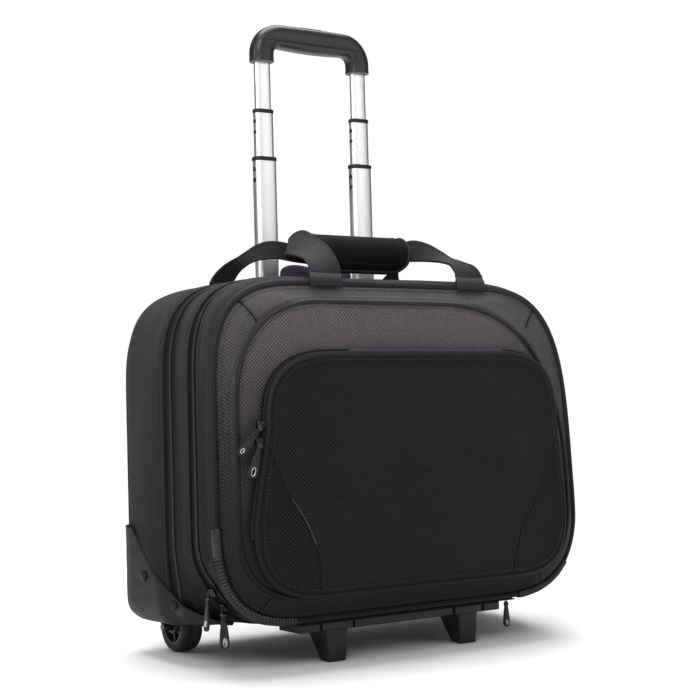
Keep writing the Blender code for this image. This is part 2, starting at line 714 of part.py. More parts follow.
def build_grip():
    lower = put("grip_shell_lower", grip_body(GRIP_SPLIT - 0.2, keep_below=True), "grip_plastic",
                GRIP_PIVOT)
    gap = 0.4                       # clearance round the upper tubes
    socket = (UPPER.width + 2 * gap, UPPER.depth + 2 * gap, UPPER.radius + gap)
    for side, sx in SIDES:
        boolean(lower, column(sx * TUBE_X, [(*socket, GRIP_BOTTOM - 5), (*socket, UPPER.top + 0.5)]),
                "cut_grip_" + side[0], pivot=GRIP_PIVOT)
    boolean(lower, box((-69, 69), span(TUBE_Y, 4.9), (GRIP_SPLIT - 6.4, GRIP_SPLIT + 5)),
            "cut_yoke", pivot=GRIP_PIVOT)
    for side, sx in SIDES:
        x = sx * TUBE_X
        boolean(lower, rod((x, TUBE_Y, UPPER.top - 2), (x, TUBE_Y, GRIP_SPLIT - 2), 2.6, 12),
                "cut_rod_" + side[0], pivot=GRIP_PIVOT)
    upper = put("grip_shell_upper", grip_body(GRIP_SPLIT + 0.2, keep_below=False),
                "grip_plastic", GRIP_PIVOT)
    boolean(upper, column(0.0, [(25.0, 9.6, 4.7, z) for z in (GRIP_SPLIT - 5, GRIP_TOP + 10)]),
            "cut_button", pivot=GRIP_PIVOT)


def build_release():
    """Button on top of the grip, and the yoke below it with a rod down each tube."""
    put("release_button", column(0.0, [
        (24.0 - d, 8.6 - d, 4.2 - d / 2, z)
        for z, d in ((GRIP_SPLIT + 0.8, 0.0), (GRIP_TOP + 0.6, 0.0), (GRIP_TOP + 1.8, 1.6))]),
        "button_plastic", GRIP_PIVOT)
    yoke = put("release_yoke", box((-64, 64), span(TUBE_Y, 2.4),
                                   (GRIP_SPLIT - 2.9, GRIP_SPLIT - 0.4), bevel=0.5),
               "bush_plastic", GRIP_PIVOT)
    for side, sx in SIDES:
        x = sx * TUBE_X
        boolean(yoke, rod((x, TUBE_Y, 560), (x, TUBE_Y, GRIP_SPLIT - 1.5), 1.8, 10),
                "rod_" + side[0], "UNION", GRIP_PIVOT)


# ---------------------------------------------------------------- wheels
def build_wheel(side, sx):
    centre = (sx * WHEEL_X, WHEEL_Y, WHEEL_Z)
    half = WHEEL_W / 2
    # one half of each profile: radius, depth in from the side face
    tyre = ((18.3, 0.0), (22.5, 0.0), (24.4, 1.6), (WHEEL_R, 4.0))
    hub = ((4.5, 0.0), (7.5, 0.0), (9.0, 3.5), (13.5, 3.5), (15.0, 1.0), (17.9, 0.6))
    for name, stations, count, mat in (("tyre_", tyre, 32, "tyre_rubber"),
                                       ("hub_", hub, 24, "hub_plastic")):
        profile = [(radius, depth - half) for radius, depth in stations]
        profile += [(radius, half - depth) for radius, depth in reversed(stations)]
        put(name + side, turned(profile, centre, count), mat, centre)


# ---------------------------------------------------------------- sliders and pulls
def slider(name, point, outward, along, pivot=LID_HINGE, lift=0.7):
    """Bevelled block with its base lifted off the point, its length along the zip."""
    outward, along = Vector(outward).normalized(), Vector(along).normalized()
    bm = box(span(0, 4.5), span(0, 4.0), (0, 3.6), bevel=1.0)
    turn = Matrix((along, outward.cross(along), outward)).transposed().to_4x4()
    place = Matrix.Translation(Vector(point) + outward * lift)
    bmesh.ops.transform(bm, matrix=place @ turn, verts=bm.verts)
    put(name, bm, "zip_metal", pivot)


def puller(name, pivot, down, wide, length, neck_w=5.0, end_w=8.5, thick=2.2):
    """Moulded pull hanging from its pivot along down, with an eye near its end."""
    pivot, down, wide = Vector(pivot), Vector(down).normalized(), Vector(wide).normalized()
    normal = down.cross(wide)
    profile = (                     # distance down, half width
        (0.0, neck_w * 0.5), (3.0, neck_w * 0.62), (length * 0.45, neck_w * 0.55),
        (length * 0.66, end_w * 0.5), (length - 4.0, end_w * 0.5),
        (length - 1.2, end_w * 0.36), (length, end_w * 0.18),
    )
    edge = [pivot + down * a - wide * b for a, b in profile]
    edge += [pivot + down * a + wide * b for a, b in reversed(profile)]
    body = put(name, loft([[p + normal * h for p in edge] for h in (-thick / 2, thick / 2)]),
               "pull_rubber", pivot)
    eye = pivot + down * (length - 5.5)
    boolean(body, rod(eye - normal * 5, eye + normal * 5, 1.9, 12), "eye_" + name, pivot=pivot)


def front_side_slider(letter, height, pull_out):
    """Slider on the left of the front zip; returns the point its pull hangs from."""
    (x, z), (nx, nz) = left_side_point(height, ZIP_B)
    slider("front_zip_slider_" + letter, (x, ZIP_B, z), (nx, 0, nz), (nz, 0, -nx), lift=2.0)
    return x + nx * pull_out, ZIP_B, z + nz * pull_out


def build_zip_pulls():
    hang = front_side_slider("a", 73.0, 8.7)
    puller("front_zip_puller_a", hang, down=(-0.12, -0.05, -1.0), wide=(0, 1, 0), length=33.0,
           neck_w=3.6, end_w=6.0, thick=2.0)
    x, y, z = front_side_slider("b", 57.0, 7.9)
    puller("front_zip_puller_b", (x, y - 4.6, z), down=(0.02, 0, -1), wide=(1, 0, 0), length=35.0)

    # under the right-hand side of the case
    slider("front_zip_slider_c", (150.0, ZIP_B, BOT_Z + 0.6), (0.05, 0, -1), (1, 0, 0.05),
           lift=1.3)
    puller("front_zip_puller_c", (151.0, ZIP_B, BOT_Z - 6.4), down=(0, 0, -1), wide=(1, 0, 0),
           length=27.0)

    # on the straight of the right side
    slider("rear_zip_slider", (HALF_W, ZIP_A, 134.0), (1, 0, 0), (0, 0, -1), ORIGIN)
    puller("rear_zip_puller", (HALF_W + 6.6, ZIP_A, 133.0), down=(0, 0, -1), wide=(0, 1, 0),
           length=33.0)

    for letter, x, z, down, length in (
            ("a", -184.0, 229.0, (-24.5, 0, -24.5), 36.0),
            ("b", -186.0, 214.0, (-10.5, 0, -31.0), 34.0)):
        put("pocket_zip_slider_" + letter,
            box((x - 3.0, x + 3.4), (-24.4, -19.2), span(z, 4.2), bevel=0.9), "zip_metal",
            LID_HINGE)
        puller("pocket_zip_puller_" + letter, (x, -26.3, z), down, (down[2], 0, -down[0]), length)


# ---------------------------------------------------------------- assembly
build_rear_shell()
build_back_board()
build_base()
build_laptop_section()
build_front_lid()
build_bumpers()
build_pocket()
build_strap("front_strap", FRONT_STRAP_PATH, grip_half=(5.0, 4.0), foot_half=(17.0, 1.2),
            foot_wide=(1.0, 0.15, 0.0), pivot=STRAP_FOOT)
build_wrap()
build_strap("rear_strap", REAR_STRAP_PATH, grip_half=(4.0, 3.5), foot_half=(14.0, 1.2),
            foot_wide=(1.0, 0.0, 0.35))
build_bezel()
build_tubes()
build_grip()
build_release()
for side_name, side_sign in SIDES:
    build_guard(side_name, side_sign)
    build_wheel(side_name, side_sign)
build_zip_pulls()
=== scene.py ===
"""Soft trolley case: zipped cloth body, laptop section, front lid with a pocket, two
carrying straps under a padded wrap, telescopic handle and two wheels.

Pieces are drawn in the case frame, in millimetres: X from left to right, Y from front
(negative) to back, Z up. The frame leans back about X and is shifted along Y to give
world metres.
"""
import json
import math
import bpy
import bmesh
import numpy as np
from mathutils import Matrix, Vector
from mathutils.bvhtree import BVHTree

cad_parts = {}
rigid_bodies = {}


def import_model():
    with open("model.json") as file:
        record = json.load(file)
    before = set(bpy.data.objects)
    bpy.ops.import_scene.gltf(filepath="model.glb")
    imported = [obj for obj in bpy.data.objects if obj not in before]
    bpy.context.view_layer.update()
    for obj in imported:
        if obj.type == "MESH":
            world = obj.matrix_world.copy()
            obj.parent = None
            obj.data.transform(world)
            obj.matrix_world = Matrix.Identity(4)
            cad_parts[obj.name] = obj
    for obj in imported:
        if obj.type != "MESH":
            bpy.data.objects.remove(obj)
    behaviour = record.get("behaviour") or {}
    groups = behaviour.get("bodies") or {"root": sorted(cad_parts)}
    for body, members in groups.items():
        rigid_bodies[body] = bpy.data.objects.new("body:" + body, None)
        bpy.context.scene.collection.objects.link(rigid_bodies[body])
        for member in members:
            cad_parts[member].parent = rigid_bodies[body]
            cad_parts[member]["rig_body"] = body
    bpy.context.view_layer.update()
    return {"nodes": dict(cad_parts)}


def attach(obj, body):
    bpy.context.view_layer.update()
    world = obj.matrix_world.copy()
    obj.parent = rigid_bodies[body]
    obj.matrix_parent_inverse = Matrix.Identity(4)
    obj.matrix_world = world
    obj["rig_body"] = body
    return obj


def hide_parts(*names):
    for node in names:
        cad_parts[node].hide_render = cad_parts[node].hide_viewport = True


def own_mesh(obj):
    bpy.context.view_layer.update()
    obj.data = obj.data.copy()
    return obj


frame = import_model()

NODES = frame["nodes"]

# ------------------------------------------------------------------ driving sizes (case mm)
LEAN = math.atan(0.0493)
LEAN_COS, LEAN_SIN = math.cos(LEAN), math.sin(LEAN)
SHIFT_Y = -82.9

HALF_WIDTH, BOTTOM_Z, TOP_Z = 221.0, 40.3, 370.0
BACK_Y = 186.6                      # flat of the back
REAR_ZIP_Y, FRONT_ZIP_Y = 80.0, 35.0
EDGE_RADIUS = 40.0                  # rear bottom edge
LOWER_CORNER_RADIUS = 86.0          # lower corners between front piping and wheels
TUBE_X, TUBE_Y = 61.7, 154.0        # telescopic tubes
SIDES = (("left", -1), ("right", 1))


def case_to_world(points):
    """Case millimetres to world metres."""
    points = np.asarray(points, float)
    x, y, z = points[..., 0], points[..., 1], points[..., 2]
    world = (x, y * LEAN_COS + z * LEAN_SIN + SHIFT_Y, -y * LEAN_SIN + z * LEAN_COS)
    return np.stack(world, -1) * 0.001


def world_to_case(points):
    """World metres to case millimetres."""
    x, y, z = (points * 1000.0).T
    y = y - SHIFT_Y
    return np.stack([x, y * LEAN_COS - z * LEAN_SIN, y * LEAN_SIN + z * LEAN_COS], 1)


def read_points(mesh):
    points = np.zeros(len(mesh.vertices) * 3)
    mesh.vertices.foreach_get("co", points)
    return points.reshape(-1, 3)


def write_points(mesh, points):
    mesh.vertices.foreach_set("co", points.astype(np.float32).ravel())
    mesh.update()


# ------------------------------------------------------------------ node helpers
class Graph:
    """Short calls for building a node tree."""

    def __init__(self, tree):
        self.tree = tree

    def feed(self, socket, value):
        if isinstance(value, bpy.types.NodeSocket):
            self.tree.links.new(value, socket)
        else:
            socket.default_value = value

    def node(self, kind, sockets=(), **settings):
        made = self.tree.nodes.new(kind)
        for key, value in settings.items():
            setattr(made, key, value)
        for key, value in dict(sockets).items():
            self.feed(made.inputs[key], value)
        return made

    def coords(self, kind="Object"):
        return self.node("ShaderNodeTexCoord").outputs[kind]

    def split(self, vector):
        return self.node("ShaderNodeSeparateXYZ", {0: vector}).outputs

    def math(self, operation, *values, clamp=False):
        made = self.node("ShaderNodeMath", enumerate(values),
                         operation=operation, use_clamp=clamp)
        return made.outputs[0]

    def add(self, a, b):
        return self.math("ADD", a, b)

    def mul(self, a, b, clamp=False):
        return self.math("MULTIPLY", a, b, clamp=clamp)

    def remap(self, value, gain, offset):
        return self.math("MULTIPLY_ADD", value, gain, offset)

    def vary(self, value, swing):
        """A factor about 1 from a value in 0..1."""
        return self.remap(value, gain=swing, offset=1.0 - swing * 0.5)

    def mix(self, factor, a, b):
        return self.add(self.mul(a, self.math("SUBTRACT", 1.0, factor)), self.mul(b, factor))

    def noise(self, vector, scale, detail=2.0, roughness=0.5):
        return self.node("ShaderNodeTexNoise", {
            "Scale": scale, "Detail": detail, "Roughness": roughness,
            "Vector": vector}).outputs["Fac"]

    def stretched(self, vector, scale):
        return self.node("ShaderNodeMapping", {"Scale": scale, "Vector": vector}).outputs[0]

    def map_range(self, value, sockets, **settings):
        sockets = dict(sockets, Value=value)
        return self.node("ShaderNodeMapRange", sockets, **settings).outputs[0]


class Material(Graph):
    """A node material around its Principled shader."""

    def __init__(self, name):
        self.data = bpy.data.materials.new(name)
        self.data.use_nodes = True
        super().__init__(self.data.node_tree)
        self.shader = self.tree.nodes["Principled BSDF"]

    def set(self, values):
        for key, value in values.items():
            self.feed(self.shader.inputs[key], value)

    def tint(self, rgb, value):
        """Base colour: rgb times a scalar."""
        scaled = self.node("ShaderNodeVectorMath", {0: rgb, "Scale": value}, operation="SCALE")
        self.set({"Base Color": scaled.outputs[0]})

    def bump(self, height, distance, strength=1.0, normal=None):
        sockets = {"Distance": distance, "Strength": strength, "Height": height}
        if normal is not None:
            sockets["Normal"] = normal
        return self.node("ShaderNodeBump", sockets).outputs[0]


def thread_height(mat, across, along, weave):
    """Height of woven cloth at thread coordinates, and which thread is on top."""
    def hump(fraction):
        centred = mat.math("SUBTRACT", mat.mul(fraction, 2.0), 1.0)
        return mat.math("SUBTRACT", 1.0, mat.mul(centred, centred))

    fract_a, fract_b = mat.math("FRACT", across), mat.math("FRACT", along)
    hump_a, hump_b = hump(fract_a), hump(fract_b)
    cell_a, cell_b = mat.math("FLOOR", across), mat.math("FLOOR", along)
    if weave == "twill":
        cell = mat.math("FLOORED_MODULO", mat.add(cell_a, cell_b), 4.0)
        top = mat.math("LESS_THAN", cell, 1.5)
    elif weave == "basket":
        pair = mat.add(mat.math("FLOOR", mat.mul(cell_a, 0.5)),
                       mat.math("FLOOR", mat.mul(cell_b, 0.5)))
        top = mat.math("FLOORED_MODULO", pair, 2.0)
    else:
        top = mat.math("FLOORED_MODULO", mat.add(cell_a, cell_b), 2.0)
    over = mat.mul(hump_a, mat.remap(hump_b, gain=0.45, offset=0.55))
    under = mat.mul(hump_b, mat.remap(hump_a, gain=0.45, offset=0.55))
    return mat.mix(top, over, under), top


def cloth_noises(mat, where):
    """Broad mottling, mid blotches and fibre noise."""
    return (mat.noise(where, scale=9.0, detail=3.0, roughness=0.55),
            mat.noise(where, scale=140.0),
            mat.noise(where, scale=2600.0, detail=1.0))


def fabric(name, rgb, pitch, weave, depth, sheen, roughness, painted_weave_shade, painted_top_light_and_floor_ramp):
    mat = Material(name)
    coords = mat.coords("UV")
    u, v, _ = mat.split(coords)
    height, top = thread_height(mat, mat.mul(u, 1.0 / pitch), mat.mul(v, 1.0 / pitch), weave)
    where = mat.coords()
    big, mid, fine = cloth_noises(mat, where)
    # Painted shade: thread height also drives the colour, so the valleys between threads are
    # darker.
    base = mat.remap(height, gain=painted_weave_shade * 1.25, offset=0.95 - 0.62 * painted_weave_shade)
    for field, swing in ((big, 0.35), (mid, 0.24), (fine, 0.5)):
        base = mat.mul(base, mat.vary(field, swing))
    slub = mat.noise(mat.stretched(coords, (420.0, 900.0, 1.0)), scale=1.0, roughness=0.6)
    # slub is the yarn's own tone; the thread on top is painted lighter, a painted sheen.
    for field, swing in ((slub, 1.4), (top, 0.65)):
        base = mat.mul(base, mat.vary(field, swing))
    # Painted top light: the cloth is painted lighter higher up, standing in for light from
    # above.
    if painted_top_light_and_floor_ramp:
        low, high = painted_top_light_and_floor_ramp
        rise = mat.math("POWER", mat.mul(mat.split(where)[2], 2.7, clamp=True), 2.0)
        base = mat.mul(base, mat.add(low, mat.mul(rise, high - low)))
    mat.tint(rgb, base)
    rough = mat.add(mat.remap(height, gain=-0.30, offset=roughness), mat.mul(mid, 0.10))
    mat.set({"Roughness": rough, "Specular IOR Level": 0.14,
             "Sheen Weight": sheen, "Sheen Roughness": 0.45})
    fuzzy = mat.add(height, mat.mul(fine, 0.35))
    folds = mat.noise(where, scale=55.0, detail=3.0, roughness=0.6)
    soft = mat.bump(folds, distance=0.0007, strength=0.5)
    mat.set({"Normal": mat.bump(fuzzy, distance=depth, normal=soft)})
    return mat.data


def webbing_material():
    """Herringbone ribs: u runs along the webbing, v across."""
    rib, across = 0.0018, 0.0044        # spacings in metres
    mat = Material("webbing_ribbed")
    u, v, _ = mat.split(mat.coords("UV"))
    ribs, rows = mat.mul(u, 1.0 / rib), mat.mul(v, 1.0 / across)
    slanted = mat.add(ribs, mat.mul(mat.math("PINGPONG", rows, 1.0), 0.9))
    rib_height = mat.math("ABSOLUTE", mat.math("SINE", mat.mul(slanted, math.pi)))
    row_height = mat.math("ABSOLUTE", mat.math("SINE", mat.mul(rows, math.pi * 2.0)))
    height = mat.mul(rib_height, mat.remap(row_height, gain=0.45, offset=0.55))
    where = mat.coords()
    fine = mat.noise(where, scale=1800.0, detail=1.0)
    broad = mat.noise(where, scale=30.0, detail=3.0)
    # Painted shade: rib height also drives the colour, so the grooves between ribs are darker;
    # the two noises are the webbing's own tone.
    mat.tint((0.0120, 0.0115, 0.0117),
             mat.mul(mat.remap(height, gain=1.5, offset=0.20),
                     mat.mul(mat.vary(fine, 0.5), mat.vary(broad, 0.3))))
    mat.set({"Roughness": mat.remap(height, gain=-0.15, offset=0.72),
             "Sheen Weight": 0.08, "Sheen Roughness": 0.4})
    fuzzy = mat.add(height, mat.mul(fine, 0.25))
    mat.set({"Normal": mat.bump(fuzzy, distance=0.0004)})
    return mat.data


def plastic(name, rgb, roughness, grain, depth, wear, specular=0.5):
    """Moulded plastic or rubber: spark texture, scuffs and paler edges."""
    mat = Material(name)
    where = mat.coords()
    spark = mat.noise(where, scale=grain, roughness=0.6)
    scuff = mat.noise(mat.stretched(where, (1.0, 1.0, 3.0)), scale=45.0, detail=4.0,
                      roughness=0.65)
    broad = mat.noise(where, scale=12.0)
    pointed = mat.node("ShaderNodeNewGeometry").outputs["Pointiness"]
    edge = mat.mul(mat.math("SUBTRACT", pointed, 0.52, clamp=True), 6.0, clamp=True)
    value = mat.mul(mat.vary(broad, 0.22), mat.vary(spark, 0.20))
    mat.tint(rgb, mat.add(value, mat.mul(edge, wear)))
    rough = mat.add(mat.mul(mat.math("SUBTRACT", scuff, 0.5), 0.28), roughness)
    mat.set({"Roughness": rough, "Specular IOR Level": specular})
    mat.set({"Normal": mat.bump(mat.add(spark, mat.mul(scuff, 0.4)), distance=depth)})
    return mat.data


def metal(name, rgb, roughness, stretch, dark):
    """Drawn or turned metal with fine lines and faint handling marks."""
    mat = Material(name)
    where = mat.coords()
    lines = mat.noise(mat.stretched(where, stretch), scale=30.0, detail=3.0, roughness=0.6)
    smudge = mat.noise(where, scale=22.0, detail=3.0, roughness=0.6)
    mat.tint(rgb, mat.mul(mat.vary(lines, dark), mat.vary(smudge, 0.08)))
    rough = mat.add(mat.mul(mat.math("SUBTRACT", lines, 0.5), 0.18),
                    mat.remap(smudge, gain=0.16, offset=roughness - 0.08))
    mat.set({"Metallic": 1.0, "Roughness": rough})
    mat.set({"Normal": mat.bump(lines, distance=0.00003)})
    return mat.data


# ------------------------------------------------------------------ materials
# key: name, rgb, thread pitch (m), weave, bump depth (m), sheen, roughness, painted weave shade,
#      painted top light as brightness at the floor and high up
FABRICS = {
    "side": ("side_cloth", (0.0150, 0.0142, 0.0145), 0.00100, "twill", 0.00018, 0.06, 0.82,
             0.9, (0.80, 3.0)),
    "border": ("border_twill", (0.0225, 0.0208, 0.0210), 0.00090, "twill", 0.00014, 0.06,
               0.82, 0.75, (0.62, 4.9)),
    "panel": ("panel_basket", (0.0290, 0.0262, 0.0266), 0.00095, "basket", 0.00016, 0.06,
              0.82, 0.85, (0.62, 5.0)),
    "lining": ("lining_cloth", (0.090, 0.066, 0.115), 0.0012, "plain", 0.00014, 0.04, 0.75,
               0.9, None),
    "wrap": ("wrap_cloth", (0.0045, 0.0044, 0.0045), 0.0011, "plain", 0.00018, 0.05, 0.75,
             0.9, None),
    "trim": ("piping_cloth", (0.0150, 0.0145, 0.0148), 0.0009, "twill", 0.00016, 0.04, 0.62,
             0.9, (0.8, 2.6)),
    "tape": ("zip_tape", (0.0055, 0.0054, 0.0056), 0.0008, "twill", 0.00012, 0.06, 0.7,
             0.9, None),
    "accent": ("accent_cord", (0.060, 0.064, 0.078), 0.0007, "twill", 0.0001, 0.05, 0.5,
               0.9, None),
}
# key: name, rgb, roughness, grain scale, grain depth (m), edge wear, specular if not 0.5
PLASTICS = {
    "thread": ("thread_black", (0.0300, 0.0295, 0.0300), 0.5, 3000.0, 0.00003, 0.1),
    "coil": ("coil_nylon", (0.0120, 0.0120, 0.0125), 0.34, 2600.0, 0.00003, 0.2),
    "guard": ("guard_moulded", (0.0042, 0.0046, 0.0056), 0.50, 1100.0, 0.00007, 0.10, 0.32),
    "base": ("base_moulded", (0.0056, 0.0056, 0.0060), 0.42, 1100.0, 0.00007, 0.40),
    "grip": ("grip_moulded", (0.0270, 0.0280, 0.0305), 0.30, 1500.0, 0.00006, 0.35),
    "button": ("button_moulded", (0.0130, 0.0138, 0.0150), 0.28, 1500.0, 0.00005, 0.4),
    "bush": ("bush_moulded", (0.012, 0.012, 0.013), 0.42, 1500.0, 0.00004, 0.3),
    "rubber": ("bumper_rubber_look", (0.0085, 0.0088, 0.0095), 0.40, 900.0, 0.00005, 0.5),
    "pull": ("pull_rubber_look", (0.0080, 0.0080, 0.0085), 0.40, 1300.0, 0.00004, 0.5),
    "tyre": ("tyre_rubber_look", (0.014, 0.014, 0.015), 0.60, 700.0, 0.00009, 0.3),
    "hub": ("hub_moulded", (0.020, 0.021, 0.024), 0.45, 1300.0, 0.00005, 0.4),
    "board": ("board_fibre", (0.030, 0.030, 0.032), 0.7, 600.0, 0.00012, 0.2),
}
# key: name, rgb, roughness, stretch of the lines, darkness of the lines
METALS = {
    "tube": ("tube_aluminium_look", (0.90, 0.90, 0.90), 0.34, (60.0, 60.0, 2.0), 0.12),
    "fixed_tube": ("fixed_tube_look", (0.60, 0.61, 0.62), 0.42, (60.0, 60.0, 2.0), 0.12),
    "slider": ("slider_gunmetal", (0.075, 0.075, 0.08), 0.30, (30.0, 30.0, 30.0), 0.3),
    "eyelet": ("eyelet_bright", (0.50, 0.51, 0.53), 0.30, (30.0, 30.0, 30.0), 0.2),
    "rivet": ("rivet_dark", (0.10, 0.10, 0.11), 0.38, (30.0, 30.0, 30.0), 0.4),
}
MATERIALS = {"webbing": webbing_material()}
for build, table in ((fabric, FABRICS), (plastic, PLASTICS), (metal, METALS)):
    for key, row in table.items():
        MATERIALS[key] = build(*row)


# ------------------------------------------------------------------ paths
def unit(vectors):
    return vectors / np.maximum(np.linalg.norm(vectors, axis=-1, keepdims=True), 1e-9)


def close_path(path, closed=True):
    return np.vstack([path, path[:1]]) if closed else path


def run_of(path, closed=True):
    """Running length at each point, with the closing point when closed."""
    steps = np.linalg.norm(np.diff(close_path(path, closed), axis=0), axis=1)
    return np.concatenate([[0.0], np.cumsum(steps)])


def sample(path, run, where):
    return np.stack([np.interp(where, run, path[:, i]) for i in range(path.shape[1])], 1)


def sample_distinct(path, run, where):
    """Sample after dropping repeated points."""
    keep = np.concatenate([[True], np.diff(run) > 1e-9])
    return sample(path[keep], run[keep], where)


def stretch_of(outline, count, start, end):
    """count + 1 even points between two run lengths of a closed outline."""
    run = run_of(outline)
    where = np.linspace(start, end, count + 1) % run[-1]
    return sample_distinct(close_path(outline), run, where)


def dense(path, step, closed=False):
    path = np.asarray(path, float)
    run = run_of(path, closed)
    where = np.linspace(0, run[-1], max(4, int(run[-1] / step)) + 1)
    return sample(close_path(path, closed), run, where[:-1] if closed else where)


def catmull(points, steps):
    """Smooth curve through points."""
    points = [np.array(p, float) for p in points]
    points = [points[0] * 2 - points[1]] + points + [points[-1] * 2 - points[-2]]
    curve = []
    for before, here, there, after in zip(points, points[1:], points[2:], points[3:]):
        for k in range(steps):
            t = k / steps
            curve.append(0.5 * ((2 * here) + (there - before) * t
                                + (2 * before - 5 * here + 4 * there - after) * t * t
                                + (3 * here - before - 3 * there + after) * t ** 3))
    curve.append(points[-2])
    return np.array(curve)


# ------------------------------------------------------------------ outlines in X and Z
CORNER_STEPS = 34
CORNER_SIZE = CORNER_STEPS + 1
CORNER_POINTS, STRAIGHT_POINTS = 40, 32     # in matched rings
CENTRE = np.array([0.0, 186.0])


def corner(centre_x, centre_z, reach_x, reach_z, power, quadrant):
    """Superellipse quarter; quadrants run clockwise from the lower left."""
    points = []
    for i in range(CORNER_SIZE):
        angle = math.pi / 2 * i / CORNER_STEPS
        cosine = max(math.cos(angle), 0.0) ** (2.0 / power)
        sine = max(math.sin(angle), 0.0) ** (2.0 / power)
        right, rise = ((-sine, -cosine), (-cosine, sine),
                       (sine, cosine), (cosine, -sine))[quadrant]
        points.append((centre_x + reach_x * right, centre_z + reach_z * rise))
    return points


def outline_of(*corners):
    """Outline from lower left, upper left, upper right and lower right corners."""
    return np.array([p for i, row in enumerate(corners) for p in corner(*row, i)])


def blend(a, b, t):
    return tuple(p + (q - p) * t for p, q in zip(a, b))


def body_outline(half, bottom, top, slant, boxy=0.0):
    """slant drops the upper right corner; boxy squares the lower ones."""
    low_left = blend((-half + 100, 150, 100, 150 - bottom, 3.0),
                     (-half + 26, bottom + 20, 26, 20, 2.4), boxy)
    low_right = blend((half - 105, 150, 105, 150 - bottom, 2.8),
                      (half - 26, bottom + 20, 26, 20, 2.4), boxy)
    top_right = blend((half - 110, top - 108, 110, 108, 3.2),
                      (half - 150, top - 205, 150, 205, 4.0), slant)
    points = outline_of(low_left, (-half + 110, top - 108, 110, 108, 3.2), top_right,
                        low_right)
    upper = (points[:, 0] > 0) & (points[:, 1] > 117)
    x, z = points[upper, 0], points[upper, 1]
    points[upper, 0] -= 14.0 * slant * (z - 117) / 246.0 * np.minimum(1.0, x / 60.0)
    return points


def gusset_outline(y):
    """Side wall outline at depth y: slanted at the front, boxy at the back."""
    t = min(max(y / 100.0, 0.0), 1.0)
    return body_outline(HALF_WIDTH, BOTTOM_Z, TOP_Z, max(0.0, 1.0 - y / 118.0),
                        t * t * (3.0 - 2.0 * t))


def inner_outline():
    """Raised centre panel of the front lid."""
    points = outline_of((-110, 145, 94, 78, 2.8), (-100, 235, 104, 109, 2.6),
                        (30, 140, 167, 204, 2.6), (110, 145, 87, 76, 3.0))
    upper = (points[:, 0] > 0) & (points[:, 1] > 140)
    x, z = points[upper, 0], points[upper, 1]
    points[upper, 0] -= 5.0 * (z - 140) / 200.0 * np.minimum(1.0, x / 60.0)
    return points


def normals_of(path, closed=True):
    """Outward normals of a clockwise outline."""
    if closed:
        tangent = np.roll(path, -1, 0) - np.roll(path, 1, 0)
    else:
        tangent = np.gradient(path, axis=0)
    tangent = unit(tangent)
    return np.stack([-tangent[:, 1], tangent[:, 0]], 1)


def matched(outline):
    """Fixed point counts on each corner and straight, so that rings correspond."""
    parts = []
    for i in range(4):
        arc = outline[CORNER_SIZE * i:CORNER_SIZE * (i + 1)]
        run = run_of(arc, False)
        parts.append(sample_distinct(arc, run,
                                     np.arange(CORNER_POINTS) / CORNER_POINTS * run[-1]))
        start, end = arc[-1], outline[CORNER_SIZE * (i + 1) % len(outline)]
        t = (np.arange(STRAIGHT_POINTS) / STRAIGHT_POINTS)[:, None]
        parts.append(start + (end - start) * t)
    return np.vstack(parts)


def offset(ring, distance):
    return ring + normals_of(ring) * distance


def at_depth(ring, y):
    depth = np.broadcast_to(np.asarray(y, float), (len(ring),))
    return np.stack([ring[:, 0], depth, ring[:, 1]], 1)


def scaled(ring, factor, centre=CENTRE):
    return centre + (ring - centre) * factor


def gusset_ring(y, out=0.0):
    return offset(matched(gusset_outline(y)), out)


def back_ring(inset):
    return matched(body_outline(HALF_WIDTH - inset, BOTTOM_Z + inset, TOP_Z - inset, 0.0, 1.0))


def waves(a, b, height, length, seed):
    """Smooth irregular field."""
    rng = np.random.RandomState(seed)
    field = np.zeros_like(a)
    for _ in range(7):
        angle = rng.uniform(0, math.pi)
        rate = 2 * math.pi / (length * rng.uniform(0.6, 1.7))
        phase = (a * math.cos(angle) + b * math.sin(angle)) * rate + rng.uniform(0, 6.28)
        field += np.sin(phase) * rng.uniform(0.5, 1.0)
    return field * height / 2.4


def side_ring(y, out, dent, seed):
    """Gusset ring with small dents and pulls."""
    ring = gusset_ring(y, out)
    run = run_of(ring)[:-1]
    field = waves(run, np.full(len(run), y * 1.6), dent, 62.0, seed)
    return at_depth(offset(ring, field[:, None]), y)


FRONT_OUTLINE = body_outline(219.0, 46.0, 363.0, 1.0)
POCKET_OUTLINE = outline_of((-110, 140, 82, 70, 2.8), (-95, 225, 82, 69, 2.8),
                            (100, 225, 73, 69, 2.8), (110, 140, 72, 70, 3.0))
OUTER_RING = matched(FRONT_OUTLINE)
INNER_RING = matched(inner_outline())
POCKET_RING = matched(POCKET_OUTLINE)


# ------------------------------------------------------------------ mesh builders
def place(name, data):
    ob = bpy.data.objects.new(name, data)
    bpy.context.scene.collection.objects.link(ob)
    return ob


def smooth_faces(mesh, smooth=True):
    mesh.polygons.foreach_set("use_smooth", [smooth] * len(mesh.polygons))


def make(name, verts, faces, body, material, uvs=None, replaces=(),
         material_ids=None, smooth=True):
    """Mesh object from case millimetres; material is one key or a list of keys."""
    mesh = bpy.data.meshes.new(name)
    mesh.from_pydata(case_to_world(verts).tolist(), [], faces)
    for key in [material] if isinstance(material, str) else material:
        mesh.materials.append(MATERIALS[key])
    if material_ids is not None:
        mesh.polygons.foreach_set("material_index", np.asarray(material_ids, np.int32))
    if uvs is not None:
        layer = mesh.uv_layers.new(name="UVMap")
        layer.data.foreach_set("uv", np.asarray(uvs, np.float32).ravel())
    mesh.validate()
    smooth_faces(mesh, smooth)
    mesh.update()
    ob = place(name, mesh)
    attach(ob, body)
    if replaces:
        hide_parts(*replaces)
    return ob


def plan_uv(verts, face):
    return [(verts[k][0] * 0.001, verts[k][2] * 0.001) for k in face]


